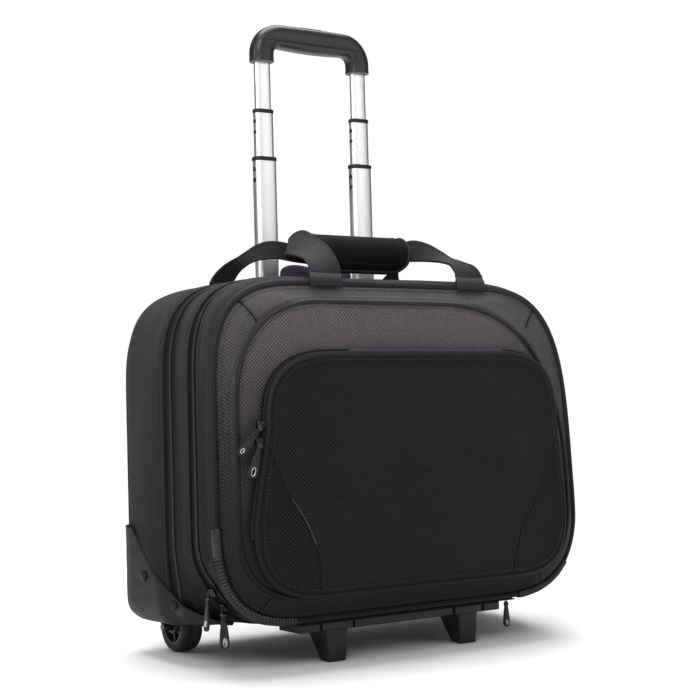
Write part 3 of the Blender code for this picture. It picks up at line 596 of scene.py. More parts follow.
def strip_faces(rings, steps_u, loop, planar=None):
    """Faces and UVs in metres between rings; planar marks strips mapped from X and Z."""
    count, size = rings.shape[:2]
    verts = rings.reshape(-1, 3)
    run_u = np.concatenate([[0.0], np.cumsum(steps_u)]) * 0.001
    steps_v = np.linalg.norm(np.diff(rings, axis=0), axis=2).mean(1)
    run_v = np.concatenate([[0.0], np.cumsum(steps_v)]) * 0.001
    closing = np.linalg.norm(rings[0] - rings[-1], axis=1).mean() * 0.001
    run_v = np.append(run_v, run_v[-1] + closing)
    faces, uvs = [], []
    for j in range(count if loop else count - 1):
        row, above = j * size, (j + 1) % count * size
        for i in range(size):
            after = (i + 1) % size
            face = (row + i, row + after, above + after, above + i)
            faces.append(face)
            if planar and planar[j]:
                uvs += plan_uv(verts, face)
            else:
                uvs += [(run_u[i], run_v[j]), (run_u[i + 1], run_v[j]),
                        (run_u[i + 1], run_v[j + 1]), (run_u[i], run_v[j + 1])]
    return faces, uvs


def skin(name, rings, body, material, replaces=(), loop=False, caps=True):
    """Object over a stack of rings, its ends closed by one face each."""
    rings = np.asarray(rings, float)
    count, size = rings.shape[:2]
    verts = rings.reshape(-1, 3)
    steps_u = np.linalg.norm(np.roll(rings, -1, 1) - rings, axis=2).mean(0)
    faces, uvs = strip_faces(rings, steps_u, loop)
    if caps and not loop:
        last = (count - 1) * size
        for face in (tuple(range(size))[::-1], tuple(range(last, last + size))):
            faces.append(face)
            uvs += plan_uv(verts, face)
    return make(name, verts, faces, body, material, uvs, replaces)


def sweep(path, profile, closed, up, scale=None):
    """Rings of a profile [(side, up)] along a path."""
    path = np.asarray(path, float)
    if closed:
        tangent = np.roll(path, -1, 0) - np.roll(path, 1, 0)
    else:
        tangent = np.gradient(path, axis=0)
    tangent = unit(tangent)
    up = np.broadcast_to(np.asarray(up, float), path.shape)
    up = unit(up - tangent * (up * tangent).sum(1, keepdims=True))
    side = np.cross(tangent, up)
    size = np.ones(len(path)) if scale is None else scale
    size = size[:, None, None]
    across, rise = np.array(profile, float).T[..., None]
    return path[:, None] + side[:, None] * across * size + up[:, None] * rise * size


def circle(radius, count):
    angles = [2 * math.pi * i / count for i in range(count)]
    return [(radius * math.cos(a), radius * math.sin(a)) for a in angles]


def rounded_rect(width, height, radius, steps):
    points = []
    for i, (sx, sy) in enumerate(((1, 1), (-1, 1), (-1, -1), (1, -1))):
        for k in range(steps + 1):
            angle = math.pi / 2 * (i + k / steps)
            points.append((sx * (width / 2 - radius) + radius * math.cos(angle),
                           sy * (height / 2 - radius) + radius * math.sin(angle)))
    return points


def tube(name, path, radius, body, material="trim", closed=False, up=(0, 1, 0), sides=12,
         replaces=(), profile=None):
    rings = sweep(path, profile or circle(radius, sides), closed, up)
    return skin(name, rings, body, material, replaces, loop=closed)


# one stitch: place along it, radius factor, rise in radii
STITCH_SHAPE = ((0.0, 0.35, -0.5), (0.18, 1.0, 0.3), (0.5, 1.15, 0.6), (0.82, 1.0, 0.3),
                (1.0, 0.35, -0.5))


def stitches(name, path, normals, body, closed=True, pitch=3.6, length=2.5, radius=0.28,
             lift=0.15):
    """Row of raised stitches along a path with its surface normals."""
    path, normals = np.asarray(path, float), np.asarray(normals, float)
    run = run_of(path, closed)
    path, normals = close_path(path, closed), close_path(normals, closed)
    count = int(run[-1] / pitch)
    middle = (np.arange(count) + 0.5) * run[-1] / count
    starts = sample(path, run, middle - length / 2)
    ends = sample(path, run, middle + length / 2)
    facing = unit(sample(normals, run, middle))
    verts, faces = [], []
    for start, end, normal in zip(starts, ends, facing):
        along = end - start
        reach = np.linalg.norm(along)
        if reach < 0.2 or reach > length * 1.6:
            continue
        along /= reach
        side = np.cross(along, normal)
        first = len(verts)
        for t, swell, rise in STITCH_SHAPE:
            centre = start + along * reach * t + normal * (lift + rise * radius)
            for i in range(6):
                angle = math.pi / 3 * i
                spoke = side * math.cos(angle) + normal * math.sin(angle)
                verts.append(centre + spoke * radius * swell)
        for j in range(4):
            row = first + j * 6
            for i in range(6):
                after = (i + 1) % 6
                faces.append((row + i, row + after, row + 6 + after, row + 6 + i))
        faces.append(tuple(first + i for i in range(6))[::-1])
        faces.append(tuple(first + 24 + i for i in range(6)))
    return make(name, verts, faces, body, "thread")


def soften(ob, pins, limit=0.006):
    """Cloth under slight inner pressure, pinned at its seams; moves are limited (metres)."""
    scene = bpy.context.scene
    start = read_points(ob.data).astype(np.float32)
    group = ob.vertex_groups.new(name="pin")
    for index, weight in pins:
        group.add([int(index)], float(weight), "REPLACE")
    cloth = ob.modifiers.new("cloth", "CLOTH")
    settings = dict(
        quality=5, mass=0.3,
        tension_stiffness=15.0, compression_stiffness=15.0, shear_stiffness=7.5,
        bending_stiffness=0.6,
        use_pressure=True, uniform_pressure_force=4.0,
        shrink_min=0.0, vertex_group_mass="pin")
    for key, value in settings.items():
        setattr(cloth.settings, key, value)
    cloth.settings.effector_weights.gravity = 0.0
    cloth.collision_settings.use_collision = False
    frames = 18
    cloth.point_cache.frame_start = 1
    cloth.point_cache.frame_end = frames + 2
    for i in range(1, frames + 1):
        scene.frame_set(i)
    evaluated = ob.evaluated_get(bpy.context.evaluated_depsgraph_get())
    end = read_points(evaluated.to_mesh()).astype(np.float32)
    evaluated.to_mesh_clear()
    ob.modifiers.remove(cloth)
    scene.frame_set(1)
    move = end - start
    reach = np.linalg.norm(move, axis=1, keepdims=True)
    eased = np.minimum(1.0, limit * np.tanh(reach / limit) / np.maximum(reach, 1e-9))
    if not np.isfinite(move).all():     # keep the drawn shape if the cloth blew up
        return
    write_points(ob.data, start + move * np.where(reach > 1e-9, eased, 0.0))


def box(x0, x1, y0, y1, z0, z1):
    verts = [(x, y, z) for x in (x0, x1) for y in (y0, y1) for z in (z0, z1)]
    faces = [(0, 1, 3, 2), (4, 6, 7, 5), (0, 4, 5, 1), (2, 3, 7, 6), (0, 2, 6, 4), (1, 5, 7, 3)]
    return verts, faces


def cut_with(ob, boxes):
    """Boolean cut by boxes, applied at once."""
    verts, faces = [], []
    for limits in boxes:
        box_verts, box_faces = box(*limits)
        faces += [tuple(k + len(verts) for k in face) for face in box_faces]
        verts += box_verts
    mesh = bpy.data.meshes.new("cutter")
    mesh.from_pydata(case_to_world(verts).tolist(), [], faces)
    bm = bmesh.new()
    bm.from_mesh(mesh)
    bmesh.ops.recalc_face_normals(bm, faces=bm.faces)
    bm.to_mesh(mesh)
    bm.free()
    cutter = place("cutter", mesh)
    bpy.context.view_layer.update()
    cut = ob.modifiers.new("cut", "BOOLEAN")
    cut.operation = "DIFFERENCE"
    cut.solver = "EXACT"
    cut.object = cutter
    graph = bpy.context.evaluated_depsgraph_get()
    result = bpy.data.meshes.new_from_object(ob.evaluated_get(graph),
                                             preserve_all_data_layers=True, depsgraph=graph)
    result.name = ob.data.name + "_cut"
    ob.modifiers.remove(cut)
    ob.data = result
    bpy.data.objects.remove(cutter)


def subdivide(ob, levels=1):
    modifier = ob.modifiers.new("sub", "SUBSURF")
    modifier.levels = modifier.render_levels = levels


def loft(name, stations, body, materials, replaces=(), loop=False, cloth=True,
         cutters=None, levels=1):
    """Skin over stations of (ring, pin weight, material index, planar UVs).

    The material and mapping are those of the strip that arrives at the ring."""
    if not loop:        # end in tiny rings, which keeps the faces four-sided
        ends = []
        for ring, _, *band in (stations[0], stations[-1]):
            centre = ring.mean(0)
            ends.append((centre + (ring - centre) * 0.01, 1.0, *band))
        stations = [ends[0], *stations, ends[1]]
    rings = np.array([station[0] for station in stations])
    count, size = rings.shape[:2]
    middle = rings[count // 2]
    steps_u = np.linalg.norm(np.roll(middle, -1, 0) - middle, axis=1)
    arriving = stations[1:] + (stations[:1] if loop else [])
    faces, uvs = strip_faces(rings, steps_u, loop, [station[3] for station in arriving])
    ids = np.repeat([station[2] for station in arriving], size)
    ob = make(name, rings.reshape(-1, 3), faces, body, materials, uvs, replaces, ids)
    if cloth:
        soften(ob, [(j * size + i, station[1]) for j, station in enumerate(stations)
                    for i in range(size) if station[1] > 0])
    if cutters:
        cut_with(ob, cutters)
    else:
        subdivide(ob, levels)
    return ob


# ------------------------------------------------------------------ laying on surfaces
FROM_BACK, FROM_FRONT = 220.0, -120.0       # Y where the rays start


def surface_of(ob):
    points = world_to_case(read_points(ob.data))
    return BVHTree.FromPolygons([Vector(p) for p in points],
                                [tuple(face.vertices) for face in ob.data.polygons])


def drop(tree, points, from_y, lift):
    """Drop (x, z) points on a surface along Y; gives points and outward normals."""
    direction = Vector((0, -math.copysign(1.0, from_y), 0))
    landed, normals = [], []
    for x, z in points:
        hit, normal, _, _ = tree.ray_cast(Vector((x, from_y, z)), direction)
        if hit is None:
            continue
        if normal.dot(direction) > 0:
            normal = -normal
        landed.append(tuple(hit + normal * lift))
        normals.append(tuple(normal))
    return np.array(landed), np.array(normals)


def round_edge(points, threshold, landing):
    """Round the rear bottom edge; the limits are in edge radii."""
    points = np.array(points, float)
    centre_y, centre_z = BACK_Y - EDGE_RADIUS, BOTTOM_Z + EDGE_RADIUS
    back = (points[:, 1] - centre_y) / EDGE_RADIUS
    down = (centre_z - points[:, 2]) / EDGE_RADIUS
    reach = np.sqrt(back * back + down * down)
    outside = (back > 0) & (down > 0) & (reach > threshold)
    pull = (landing + (reach - threshold) * 0.06) / np.maximum(reach, 1e-9)
    points[:, 1] = np.where(outside, centre_y + back * pull * EDGE_RADIUS, points[:, 1])
    points[:, 2] = np.where(outside, centre_z - down * pull * EDGE_RADIUS, points[:, 2])
    return points


def round_rear(ob, extra=0.0):
    limit = 1.0 + extra / EDGE_RADIUS
    points = world_to_case(read_points(ob.data))
    write_points(ob.data, case_to_world(round_edge(points, limit, limit)))


def gusset_stitch(name, y, body, out):
    ring = gusset_ring(y, out)
    stitches(name, at_depth(ring, y), at_depth(normals_of(ring), 0.0), body)


def side_stations(rows, dent, seed, material=0):
    """Stations from (y, out, pin); fully pinned rings are not dented."""
    return [(side_ring(y, out, 0.0 if pin == 1 else dent, seed), pin, material, False)
            for y, out, pin in rows]


# ------------------------------------------------------------------ rear body
# y, out, pin: rolled hem at the zip, then the side wall
REAR_WALL = ((93.4, -2.9, 1), (92.2, -1.2, 1), (92.6, .4, 1), (94.2, 1.1, 1), (95.8, .7, 1),
             (97.4, -.1, 1), (99.0, .35, .3), (102, .4, 0), (107, .3, 0), (113, .2, 0),
             (120, .2, 0), (128, .2, 0), (136, .2, 0), (144, .2, 0), (152, .2, 0),
             (159, .1, 0), (163, 0, .3))
# inset, y, pin: turn from the side wall to the back
REAR_TURN = ((1.2, 170.0, .5), (3.5, 175.0, .7), (7.0, 179.4, 1), (11.0, 182.0, 1),
             (16.0, 183.8, 1), (22.0, 184.8, 1), (30, 185.4, .2))
# scale, y: back face towards its centre
REAR_FACE = ((.9, 186.0), (.78, 186.4), (.62, BACK_Y), (.45, BACK_Y), (.28, BACK_Y),
             (.12, BACK_Y), (.04, BACK_Y))
# openings for the wheels, then for the telescopic tubes
REAR_CUTS = [(-199.6, -157.4, 107.4, 194, 20, 69.2), (157.4, 199.6, 107.4, 194, 20, 69.2),
             (-75.9, -47.5, 145, 163, 355, 385), (47.5, 75.9, 145, 163, 355, 385)]


def build_rear_body():
    stations = [(at_depth(scaled(back_ring(26), factor), 181.4), 1, 1, True)
                for factor in (.05, .5)]
    stations += [(at_depth(back_ring(inset), y), 1, 1, True)
                 for inset, y in ((26.0, 181.4), (14.0, 178.4), (6.0, 170.0))]
    stations += [(at_depth(gusset_ring(y, -3.6), y), 1, 1, False)
                 for y in (150.0, 112.0, 96.0)]
    stations += side_stations(REAR_WALL, dent=0.55, seed=5)
    stations += [(at_depth(back_ring(inset), y), pin, 0, inset > 5)
                 for inset, y, pin in REAR_TURN]
    for factor, y in REAR_FACE:
        ring = scaled(back_ring(30), factor)
        y = y + waves(ring[:, 0], ring[:, 1], .4, 90.0, 11)
        stations.append((at_depth(ring, y), 0.0 if factor > .3 else .6, 0, True))
    return loft("rear_body_cloth", stations, "case", ["side", "lining"],
                ("rear_shell",), cutters=REAR_CUTS)


rear_body = build_rear_body()
gusset_stitch("rear_hem_stitch", 97.6, "case", 0.25)
gusset_stitch("rear_hem_stitch_b", 101.4, "case", 0.7)
tube("rear_edge_piping", round_edge(at_depth(back_ring(6.2), 178.8), 1.0, 1.012), 1.9,
     "case", closed=True)


def build_back_trim():
    """Piped frame, four upright seams and a row of stitches along the bottom."""
    tree = surface_of(rear_body)
    outline = dense(matched(body_outline(182.0, 92.0, 340.0, 0.0, 0.55)), 3.0, True)
    path, _ = drop(tree, outline, FROM_BACK, 0.4)
    tube("back_panel_piping", path, 1.7, "case", closed=True)
    for i, x in enumerate((-100.0, -28.0, 28.0, 100.0)):
        line = [(x, z) for z in np.linspace(98, 334, 120)]
        path, normals = drop(tree, line, FROM_BACK, -0.2)
        tube("back_seam_%d" % i, path, 0.7, "case", "tape", sides=8)
        stitches("back_seam_stitch_%d" % i, path + np.array([3.0, 0.25, 0]), normals,
                 "case", closed=False)
    line = [(x, 76.0) for x in np.linspace(-150, 150, 120)]
    path, normals = drop(tree, line, FROM_BACK, 0.0)
    stitches("back_base_stitch", path, normals, "case", closed=False)


build_back_trim()
round_rear(rear_body)


# ------------------------------------------------------------------ zips
# coil section: side, up
COIL_PROFILE = ((-1.9, -.4), (-1.5, .55), (-.5, .95), (-.12, .35), (.12, .35), (.5, .95),
                (1.5, .55), (1.9, -.4), (1.2, -.9), (-1.2, -.9))
COIL_SWELL = np.array([0.62, 0.95, 1.12, 0.95])     # repeats along every tooth


def coil(name, path, up, body, replaces, size=1.15, pitch=1.5, closed=True):
    """Two rows of beaded teeth; up is a direction or a function giving one per point."""
    path = dense(path, pitch / 4, closed)
    swell = COIL_SWELL[np.arange(len(path)) % 4]
    profile = [(a * size, b * size) for a, b in COIL_PROFILE]
    rings = sweep(path, profile, closed, up(path) if callable(up) else up, swell)
    skin(name, rings, body, "coil", replaces, loop=closed)


def outward_at(y):
    """Function giving outward directions for points on the gusset at depth y."""
    ring = gusset_ring(y)
    normals = at_depth(normals_of(ring), 0.0)

    def nearest(points):
        gaps = ((points[:, None, [0, 2]] - ring[None]) ** 2).sum(2)
        return normals[gaps.argmin(1)]
    return nearest


def zip_tape(name, start, end, body):
    """Half of a recessed zip tape: a thin strip with slightly raised edges."""
    # place across the tape, out
    rows = [(0, -1.7), (.08, -1.58), (.5, -1.8), (.92, -1.58), (1, -1.7)]
    rows = [(start + (end - start) * t, out) for t, out in rows]
    rows += [(y, out - 1.0) for y, out in rows[::-1]]
    stations = [(at_depth(gusset_ring(y, out), y), 0, 0, False) for y, out in rows]
    loft(name, stations, body, ["tape"], loop=True, cloth=False, levels=0)


ZIP_GAP = 0.15      # from the zip's middle to each tape
zip_tape("rear_zip_tape_rear", REAR_ZIP_Y + ZIP_GAP, 95.0, "case")
zip_tape("rear_zip_tape_front", 65.0, REAR_ZIP_Y - ZIP_GAP, "laptop_section")
zip_tape("front_zip_tape_rear", FRONT_ZIP_Y + ZIP_GAP, 45.0, "laptop_section")
zip_tape("front_zip_tape_front", 25.5, FRONT_ZIP_Y - ZIP_GAP, "front_lid")
for end, zip_y, body in (("rear", REAR_ZIP_Y, "case"), ("front", FRONT_ZIP_Y, "laptop_section")):
    coil(end + "_zip_teeth", at_depth(gusset_ring(zip_y, -1.0), zip_y), outward_at(zip_y),
         body, (end + "_zip_coil",))

# ------------------------------------------------------------------ laptop section
# y, out, pin: outer cloth with a rolled hem on each side
SECTION_WALL = ((44.0, -1.4, 1), (43.6, .2, 1), (44.2, 1.0, 1), (45.8, .9, 1), (47.2, .1, 1),
                (48.8, .35, .2), (51.5, .6, 0), (55.0, .8, 0), (58.5, .6, 0), (61.2, .35, .2),
                (62.8, .1, 1), (64.2, .9, 1), (65.8, 1.0, 1), (66.4, .2, 1), (66.0, -1.4, 1))


def build_laptop_section():
    style = dict(dent=0.4, seed=8)
    stations = side_stations([(44.6, -3.4, 1)], material=1, **style)
    stations += side_stations(SECTION_WALL, **style)
    stations += side_stations([(65.4, -3.4, 1), (58.0, -3.6, 1), (51.0, -3.6, 1)],
                              material=1, **style)
    loft("laptop_section_cloth", stations, "laptop_section", ["side", "lining"],
         ("laptop_section_shell",), loop=True)
    gusset_stitch("section_stitch_front", 48.2, "laptop_section", 0.45)
    gusset_stitch("section_stitch_rear", 61.8, "laptop_section", 0.45)
    verts, faces = box(-140, 140, 7.2, 46, 39.7, 40.6)
    uvs = [(verts[k][0] * .001, verts[k][1] * .001) for face in faces for k in face]
    make("hinge_flap", verts, faces, "laptop_section", "side", uvs,
         smooth=False)


# scale, y, pin: padded divider with a bound edge
DIVIDER = ((.04, 42.6, .5), (.5, 42.4, 0), (.9, 42.6, .3), (.97, 43.3, 1), (1.0, 44.5, 1),
           (.97, 45.7, 1), (.9, 46.4, .3), (.5, 46.6, 0), (.04, 46.4, .5))


def build_divider():
    ring = matched(body_outline(184.0, 66.0, 300.0, 0.0, 1.0))
    centre = np.array([0.0, 183.0])
    stations = [(at_depth(scaled(ring, factor, centre), y), pin, 0, True)
                for factor, y, pin in DIVIDER]
    loft("divider_cloth", stations, "laptop_section", ["lining"],
         ("laptop_divider",))


build_laptop_section()
build_divider()

# ------------------------------------------------------------------ front lid
LID_MATERIALS = ["side", "border", "panel", "lining"]
# scale of the inner ring, y: lining
LID_LINING = ((.04, -16.8), (.4, -16.8), (.75, -16.6), (.92, -15.0), (.97, -12.0))
# y, out, pin: rolled hem at the zip and side wall
LID_WALL = ((26.6, -2.6, 1), (27.6, -1.0, 1), (27.4, .5, 1), (26.0, 1.1, 1), (24.4, .7, 1),
            (22.8, -.1, 1), (21.0, .3, .3), (18.0, .4, 0), (14.5, .4, 0))
# blend from the side wall to the outer ring, y, pin
LID_TURN = ((.12, 11.5, 0), (.35, 9.2, .2), (.68, 6.8, .5), (.95, 4.6, 1), (1.0, 2.4, 1))
# blend from the outer to the inner ring
LID_BORDER = (0.0, .05, .11, .19, .28, .38, .48, .58, .68, .78, .86, .93, .98)
# scale of the inner ring, y, pin: centre panel
LID_PANEL = ((1.0, -14.2, 1), (.985, -15.4, .8), (.965, -16.8, .3), (.94, -17.7, 0),
             (.91, -18.2, 0), (.87, -18.6, 0), (.82, -18.9, 0.3), (.74, -19.2, 1),
             (.55, -19.4, 1), (.3, -19.4, 1), (.05, -19.4, 1))


def build_lid():
    stations = [(at_depth(scaled(INNER_RING, factor), y), 1, 3, True)
                for factor, y in LID_LINING]
    for ring, y in ((OUTER_RING * .5 + INNER_RING * .5, -3.5), (offset(OUTER_RING, -8), 4.0),
                    (gusset_ring(14, -3.4), 14), (gusset_ring(25, -3.4), 25)):
        stations.append((at_depth(ring, y), 1, 3, False))
    stations += side_stations(LID_WALL, dent=0.35, seed=14)
    wall = gusset_ring(13.0)
    for t, y, pin in LID_TURN:
        ring = offset(wall * (1 - t) + OUTER_RING * t, -1.4 * max(0, t - .68) / .32)
        stations.append((at_depth(ring, y), pin, 0, False))
    for t in LID_BORDER:
        ring = offset(OUTER_RING, -3.0) * (1 - t) + INNER_RING * t
        bulge = math.sin(math.pi * t)
        y = -1.2 - 12.6 * t - 2.9 * bulge ** .75
        y = y + waves(ring[:, 0], ring[:, 1], .35, 55.0, 21) * bulge
        pin = 1 if t < .03 or t > .95 else (.35 if t < .08 or t > .9 else 0)
        stations.append((at_depth(ring, y), pin, 1, True))
    for factor, y, pin in LID_PANEL:
        ring = scaled(INNER_RING, factor)
        y = y + waves(ring[:, 0], ring[:, 1], .25, 60.0, 23)
        stations.append((at_depth(ring, y), pin, 2, True))
    return loft("front_lid_cloth", stations, "front_lid", LID_MATERIALS,
                ("front_lid_shell",))


lid = build_lid()
gusset_stitch("lid_hem_stitch", 22.4, "front_lid", 0.2)
LID_SURFACE = surface_of(lid)


def cord(name, ring, y, radius, body, replaces):
    tube(name, dense(at_depth(ring, y), 1.2, True), radius, body, closed=True, sides=16,
         replaces=replaces)


def front_stitch(name, points, body, tree, closed=True):
    path, normals = drop(tree, points, FROM_FRONT, 0.05)
    stitches(name, path, normals, body, closed)


cord("outer_piping_cord", OUTER_RING, .5, 3.4, "front_lid", ("outer_piping",))
cord("inner_piping_cord", INNER_RING, -15.4, 2.0, "front_lid", ("inner_piping",))
for name, ring in (("outer_piping_stitch", offset(OUTER_RING, -6.2)),
                   ("inner_border_stitch", offset(INNER_RING, 4.4)),
                   ("inner_panel_stitch", offset(INNER_RING, -5.0))):
    front_stitch(name, dense(ring, 2.0, True), "front_lid", LID_SURFACE)

# ends (x, z) of the seams across the border's corners
MITRES = (((-181.5, 53.4), (-166.3, 79.0)), ((-192.0, 346.5), (-179.2, 324.6)),
          ((172.5, 343.8), (152.0, 322.0)), ((167.0, 55.0), (150.0, 78.0)))
for i, (start, end) in enumerate(MITRES):
    line = np.array([blend(start, end, t) for t in np.linspace(0, 1, 30)])
    path, _ = drop(LID_SURFACE, line, FROM_FRONT, -0.1)
    if len(path) > 5:       # only where the line lies over the cloth
        tube("mitre_seam_%d" % i, path, 0.75, "front_lid", "tape", sides=8)
        beside = np.array([end[1] - start[1], start[0] - end[0]])
        beside = beside / np.linalg.norm(beside) * 2.2
        for letter, sign in (("a", -1), ("b", 1)):
            front_stitch("mitre_stitch_%d_%s" % (i, letter), line + sign * beside,
                         "front_lid", LID_SURFACE, closed=False)

# ------------------------------------------------------------------ ribbed corner bumpers
RIB_PITCH = 3.4
BUMPER_ARC = np.radians(np.linspace(-44, 134, 19))


def bumper(name, start, end, cuff_start, cuff_end, replaces):
    """Ribbed rubber over the outer piping between two run lengths, with plain cuffs."""
    count = int((end - start) / 0.4)
    path = stretch_of(FRONT_OUTLINE, count, start, end)
    normals = normals_of(path, False)
    rings = []
    for i, (point, normal) in enumerate(zip(path, normals)):
        before = i / count * (end - start)
        after = end - start - before
        phase = (before % RIB_PITCH) / RIB_PITCH
        radius = 5.1 - 1.15 * (0.5 + 0.5 * math.cos(2 * math.pi * phase)) ** 1.3
        if before < cuff_start or after < cuff_end:
            groove = 0 < cuff_start - before < .8 or 0 < cuff_end - after < .8
            radius = 4.4 if groove else 4.8
        taper = min(1.0, math.sqrt(max(min(before, after), 0.0) / 1.4) * .6 + .45)
        radius = 4.0 + (radius - 4.0) * taper
        section = [(radius, angle) for angle in BUMPER_ARC]
        section += [(3.7, angle) for angle in BUMPER_ARC[::-3]]
        rings.append([(point[0] + normal[0] * reach * math.cos(angle),
                       .5 - reach * math.sin(angle),
                       point[1] + normal[1] * reach * math.cos(angle))
                      for reach, angle in section])
    skin(name, rings, "front_lid", "rubber", replaces)


FRONT_LENGTH = run_of(FRONT_OUTLINE)[-1]
lower_left = stretch_of(FRONT_OUTLINE, 500, 0.0, 250.0)
bumper_start = 250.0 / 500 * int(np.argmax(lower_left[:, 0] < -136.4))
bumper_end = 250.0 / 500 * int(np.argmax(lower_left[:, 1] > 136.8))
bumper("bumper_left_ribbed", bumper_start, bumper_end, 2.0, 26.0, ("bumper_left",))
bumper("bumper_right_ribbed", FRONT_LENGTH - 330.0, FRONT_LENGTH - 256.0, 14.0, 2.0,
       ("bumper_right",))

# ------------------------------------------------------------------ pocket
POCKET_CENTRE = np.array([0.0, 180.0])
# x, z of the slanting seams beyond which the cloth is grid woven
INSERT_LEFT = [(-192.0, 240.0), (-180.8, 224.8), (-172.1, 196.9), (-156.0, 160.8),
               (-144.1, 141.6), (-132.2, 118.0), (-127.4, 96.6), (-125.2, 75.4), (-125.0, 60.0)]
INSERT_RIGHT = [(186.0, 240.0), (172.3, 209.1), (166.0, 193.9), (149.3, 160.7),
                (129.7, 133.3), (117.5, 116.4), (111.2, 95.2), (109.0, 74.3), (108.5, 60.0)]
SEAM_LOW_Z, SEAM_HIGH_Z = 60.0, 240.0
SEAM_REACH_X = 260.0


def pocket_material():
    """Basket cloth with grid-woven inserts beyond the two seams."""
    mat = Material("pocket_cloth_split")
    u, v, _ = mat.split(mat.coords("UV"))

    def beyond(seam, comparison):
        height = mat.map_range(v, {"From Min": SEAM_LOW_Z * 0.001,
                                   "From Max": SEAM_HIGH_Z * 0.001})
        curve_node = mat.node("ShaderNodeFloatCurve")
        curve = curve_node.mapping.curves[0]
        places = sorted(((z - SEAM_LOW_Z) / (SEAM_HIGH_Z - SEAM_LOW_Z),
                         (x + SEAM_REACH_X) / (2 * SEAM_REACH_X)) for x, z in seam)
        while len(curve.points) < len(places):
            curve.points.new(0.5, 0.5)
        for point, location in zip(curve.points, places):
            point.location = location
            point.handle_type = "VECTOR"
        curve_node.mapping.update()
        mat.feed(curve_node.inputs["Value"], height)
        limit = mat.remap(curve_node.outputs[0], gain=2 * SEAM_REACH_X * 0.001,
                          offset=-SEAM_REACH_X * 0.001)
        return mat.math(comparison, u, limit)

    def grid_line(coord):
        part = mat.math("FRACT", mat.mul(coord, 1 / 0.0027))
        return part

    insert = mat.math("MAXIMUM", beyond(INSERT_LEFT, "LESS_THAN"),
                      beyond(INSERT_RIGHT, "GREATER_THAN"))
    basket, top = thread_height(mat, mat.mul(u, 1 / 0.00100), mat.mul(v, 1 / 0.00100),
                                "basket")
    part_u, part_v = grid_line(u), grid_line(v)
    lines = mat.math("MAXIMUM", mat.math("LESS_THAN", part_u, 0.28),
                     mat.math("LESS_THAN", part_v, 0.28))
    gridded = mat.add(mat.mul(basket, 0.35), mat.mul(lines, 0.65))
    height = mat.mix(insert, basket, gridded)
    where = mat.coords()
    big, mid, fine = cloth_noises(mat, where)
    # Painted shade and highlight: thread height drives the colour, so valleys are darker and the
    # raised grid lines lighter; the noises and the darker inserts are the cloth's own tone.
    base = mat.remap(height, gain=0.9, offset=0.5)
    # each factor's field, gain and offset; top paints the upper thread lighter as sheen
    for field, gain, shift in ((big, .35, .82), (mid, .24, .88), (fine, .5, .75),
                               (top, .50, .75), (insert, -.22, 1.0)):
        base = mat.mul(base, mat.remap(field, gain, shift))
    slub = mat.noise(mat.stretched(mat.coords("UV"), (700.0, 700.0, 1.0)), scale=1.0,
                     roughness=0.6)
    mat.tint((0.0175, 0.0166, 0.0170), mat.mul(base, mat.vary(slub, 1.6)))
    mat.set({"Roughness": mat.remap(insert, gain=-0.12, offset=0.76),
             "Specular IOR Level": mat.remap(top, gain=0.14, offset=0.07),
             "Sheen Weight": 0.035, "Sheen Roughness": 0.45})
    folds = mat.noise(where, scale=50.0, detail=3.0, roughness=0.6)
    soft = mat.bump(folds, distance=0.0008, strength=0.5)
    fuzzy = mat.add(height, mat.mul(fine, 0.3))
    mat.set({"Normal": mat.bump(fuzzy, distance=0.00022, normal=soft)})
    return mat.data


def build_pocket():
    back = ((scaled(POCKET_RING, .05, POCKET_CENTRE), -23.2),
            (scaled(POCKET_RING, .6, POCKET_CENTRE), -23.2), (offset(POCKET_RING, -4.0), -22.8),
            (offset(POCKET_RING, -2.2), -23.0), (offset(POCKET_RING, -1.6), -25.4),
            (offset(POCKET_RING, -2.4), -27.6))
    stations = [(at_depth(ring, y), 1, 0, True) for ring, y in back]
    for factor in (.975, .955, .93, .90, .86, .81, .75, .68, .60, .51, .41, .30, .18, .06):
        ring = scaled(POCKET_RING, factor, POCKET_CENTRE)
        inward = 1 - factor
        y = -27.4 - 14.4 * (1 - (1 - min(1.0, inward / .55)) ** 2.2)
        y = y + waves(ring[:, 0], ring[:, 1], .9, 70.0, 31) * min(1.0, inward / .15)
        stations.append((at_depth(ring, y), 0.35 if factor > .97 else 0.0, 0, True))
    return loft("pocket_cloth", stations, "pocket", ["pocket"],
                ("pocket_shell",))


MATERIALS["pocket"] = pocket_material()
POCKET_SURFACE = surface_of(build_pocket())
cord("pocket_piping_cord", offset(POCKET_RING, -.2), -25.4, 2.5, "pocket", ("pocket_piping",))
front_stitch("pocket_edge_stitch", dense(offset(POCKET_RING, -5.4), 2.0, True), "pocket",
             POCKET_SURFACE)
for side, seam, stitch_x in (("left", INSERT_LEFT, 3.2), ("right", INSERT_RIGHT, -3.2)):
    line = dense(catmull(seam[1:-1], 12), 1.5)
    path, _ = drop(POCKET_SURFACE, line, FROM_FRONT, 0.25)
    tube("insert_cord_" + side, path, 0.95, "pocket", sides=10)
    front_stitch("insert_stitch_" + side, line + np.array([stitch_x, 0.8]), "pocket",
                 POCKET_SURFACE, closed=False)
line = dense(catmull([(x - .6, z) for x, z in INSERT_LEFT[3:6]], 12), 1.5)
path, _ = drop(POCKET_SURFACE, line, FROM_FRONT, 1.1)
tube("insert_accent_cord", path, 0.7, "pocket", "accent", sides=10)


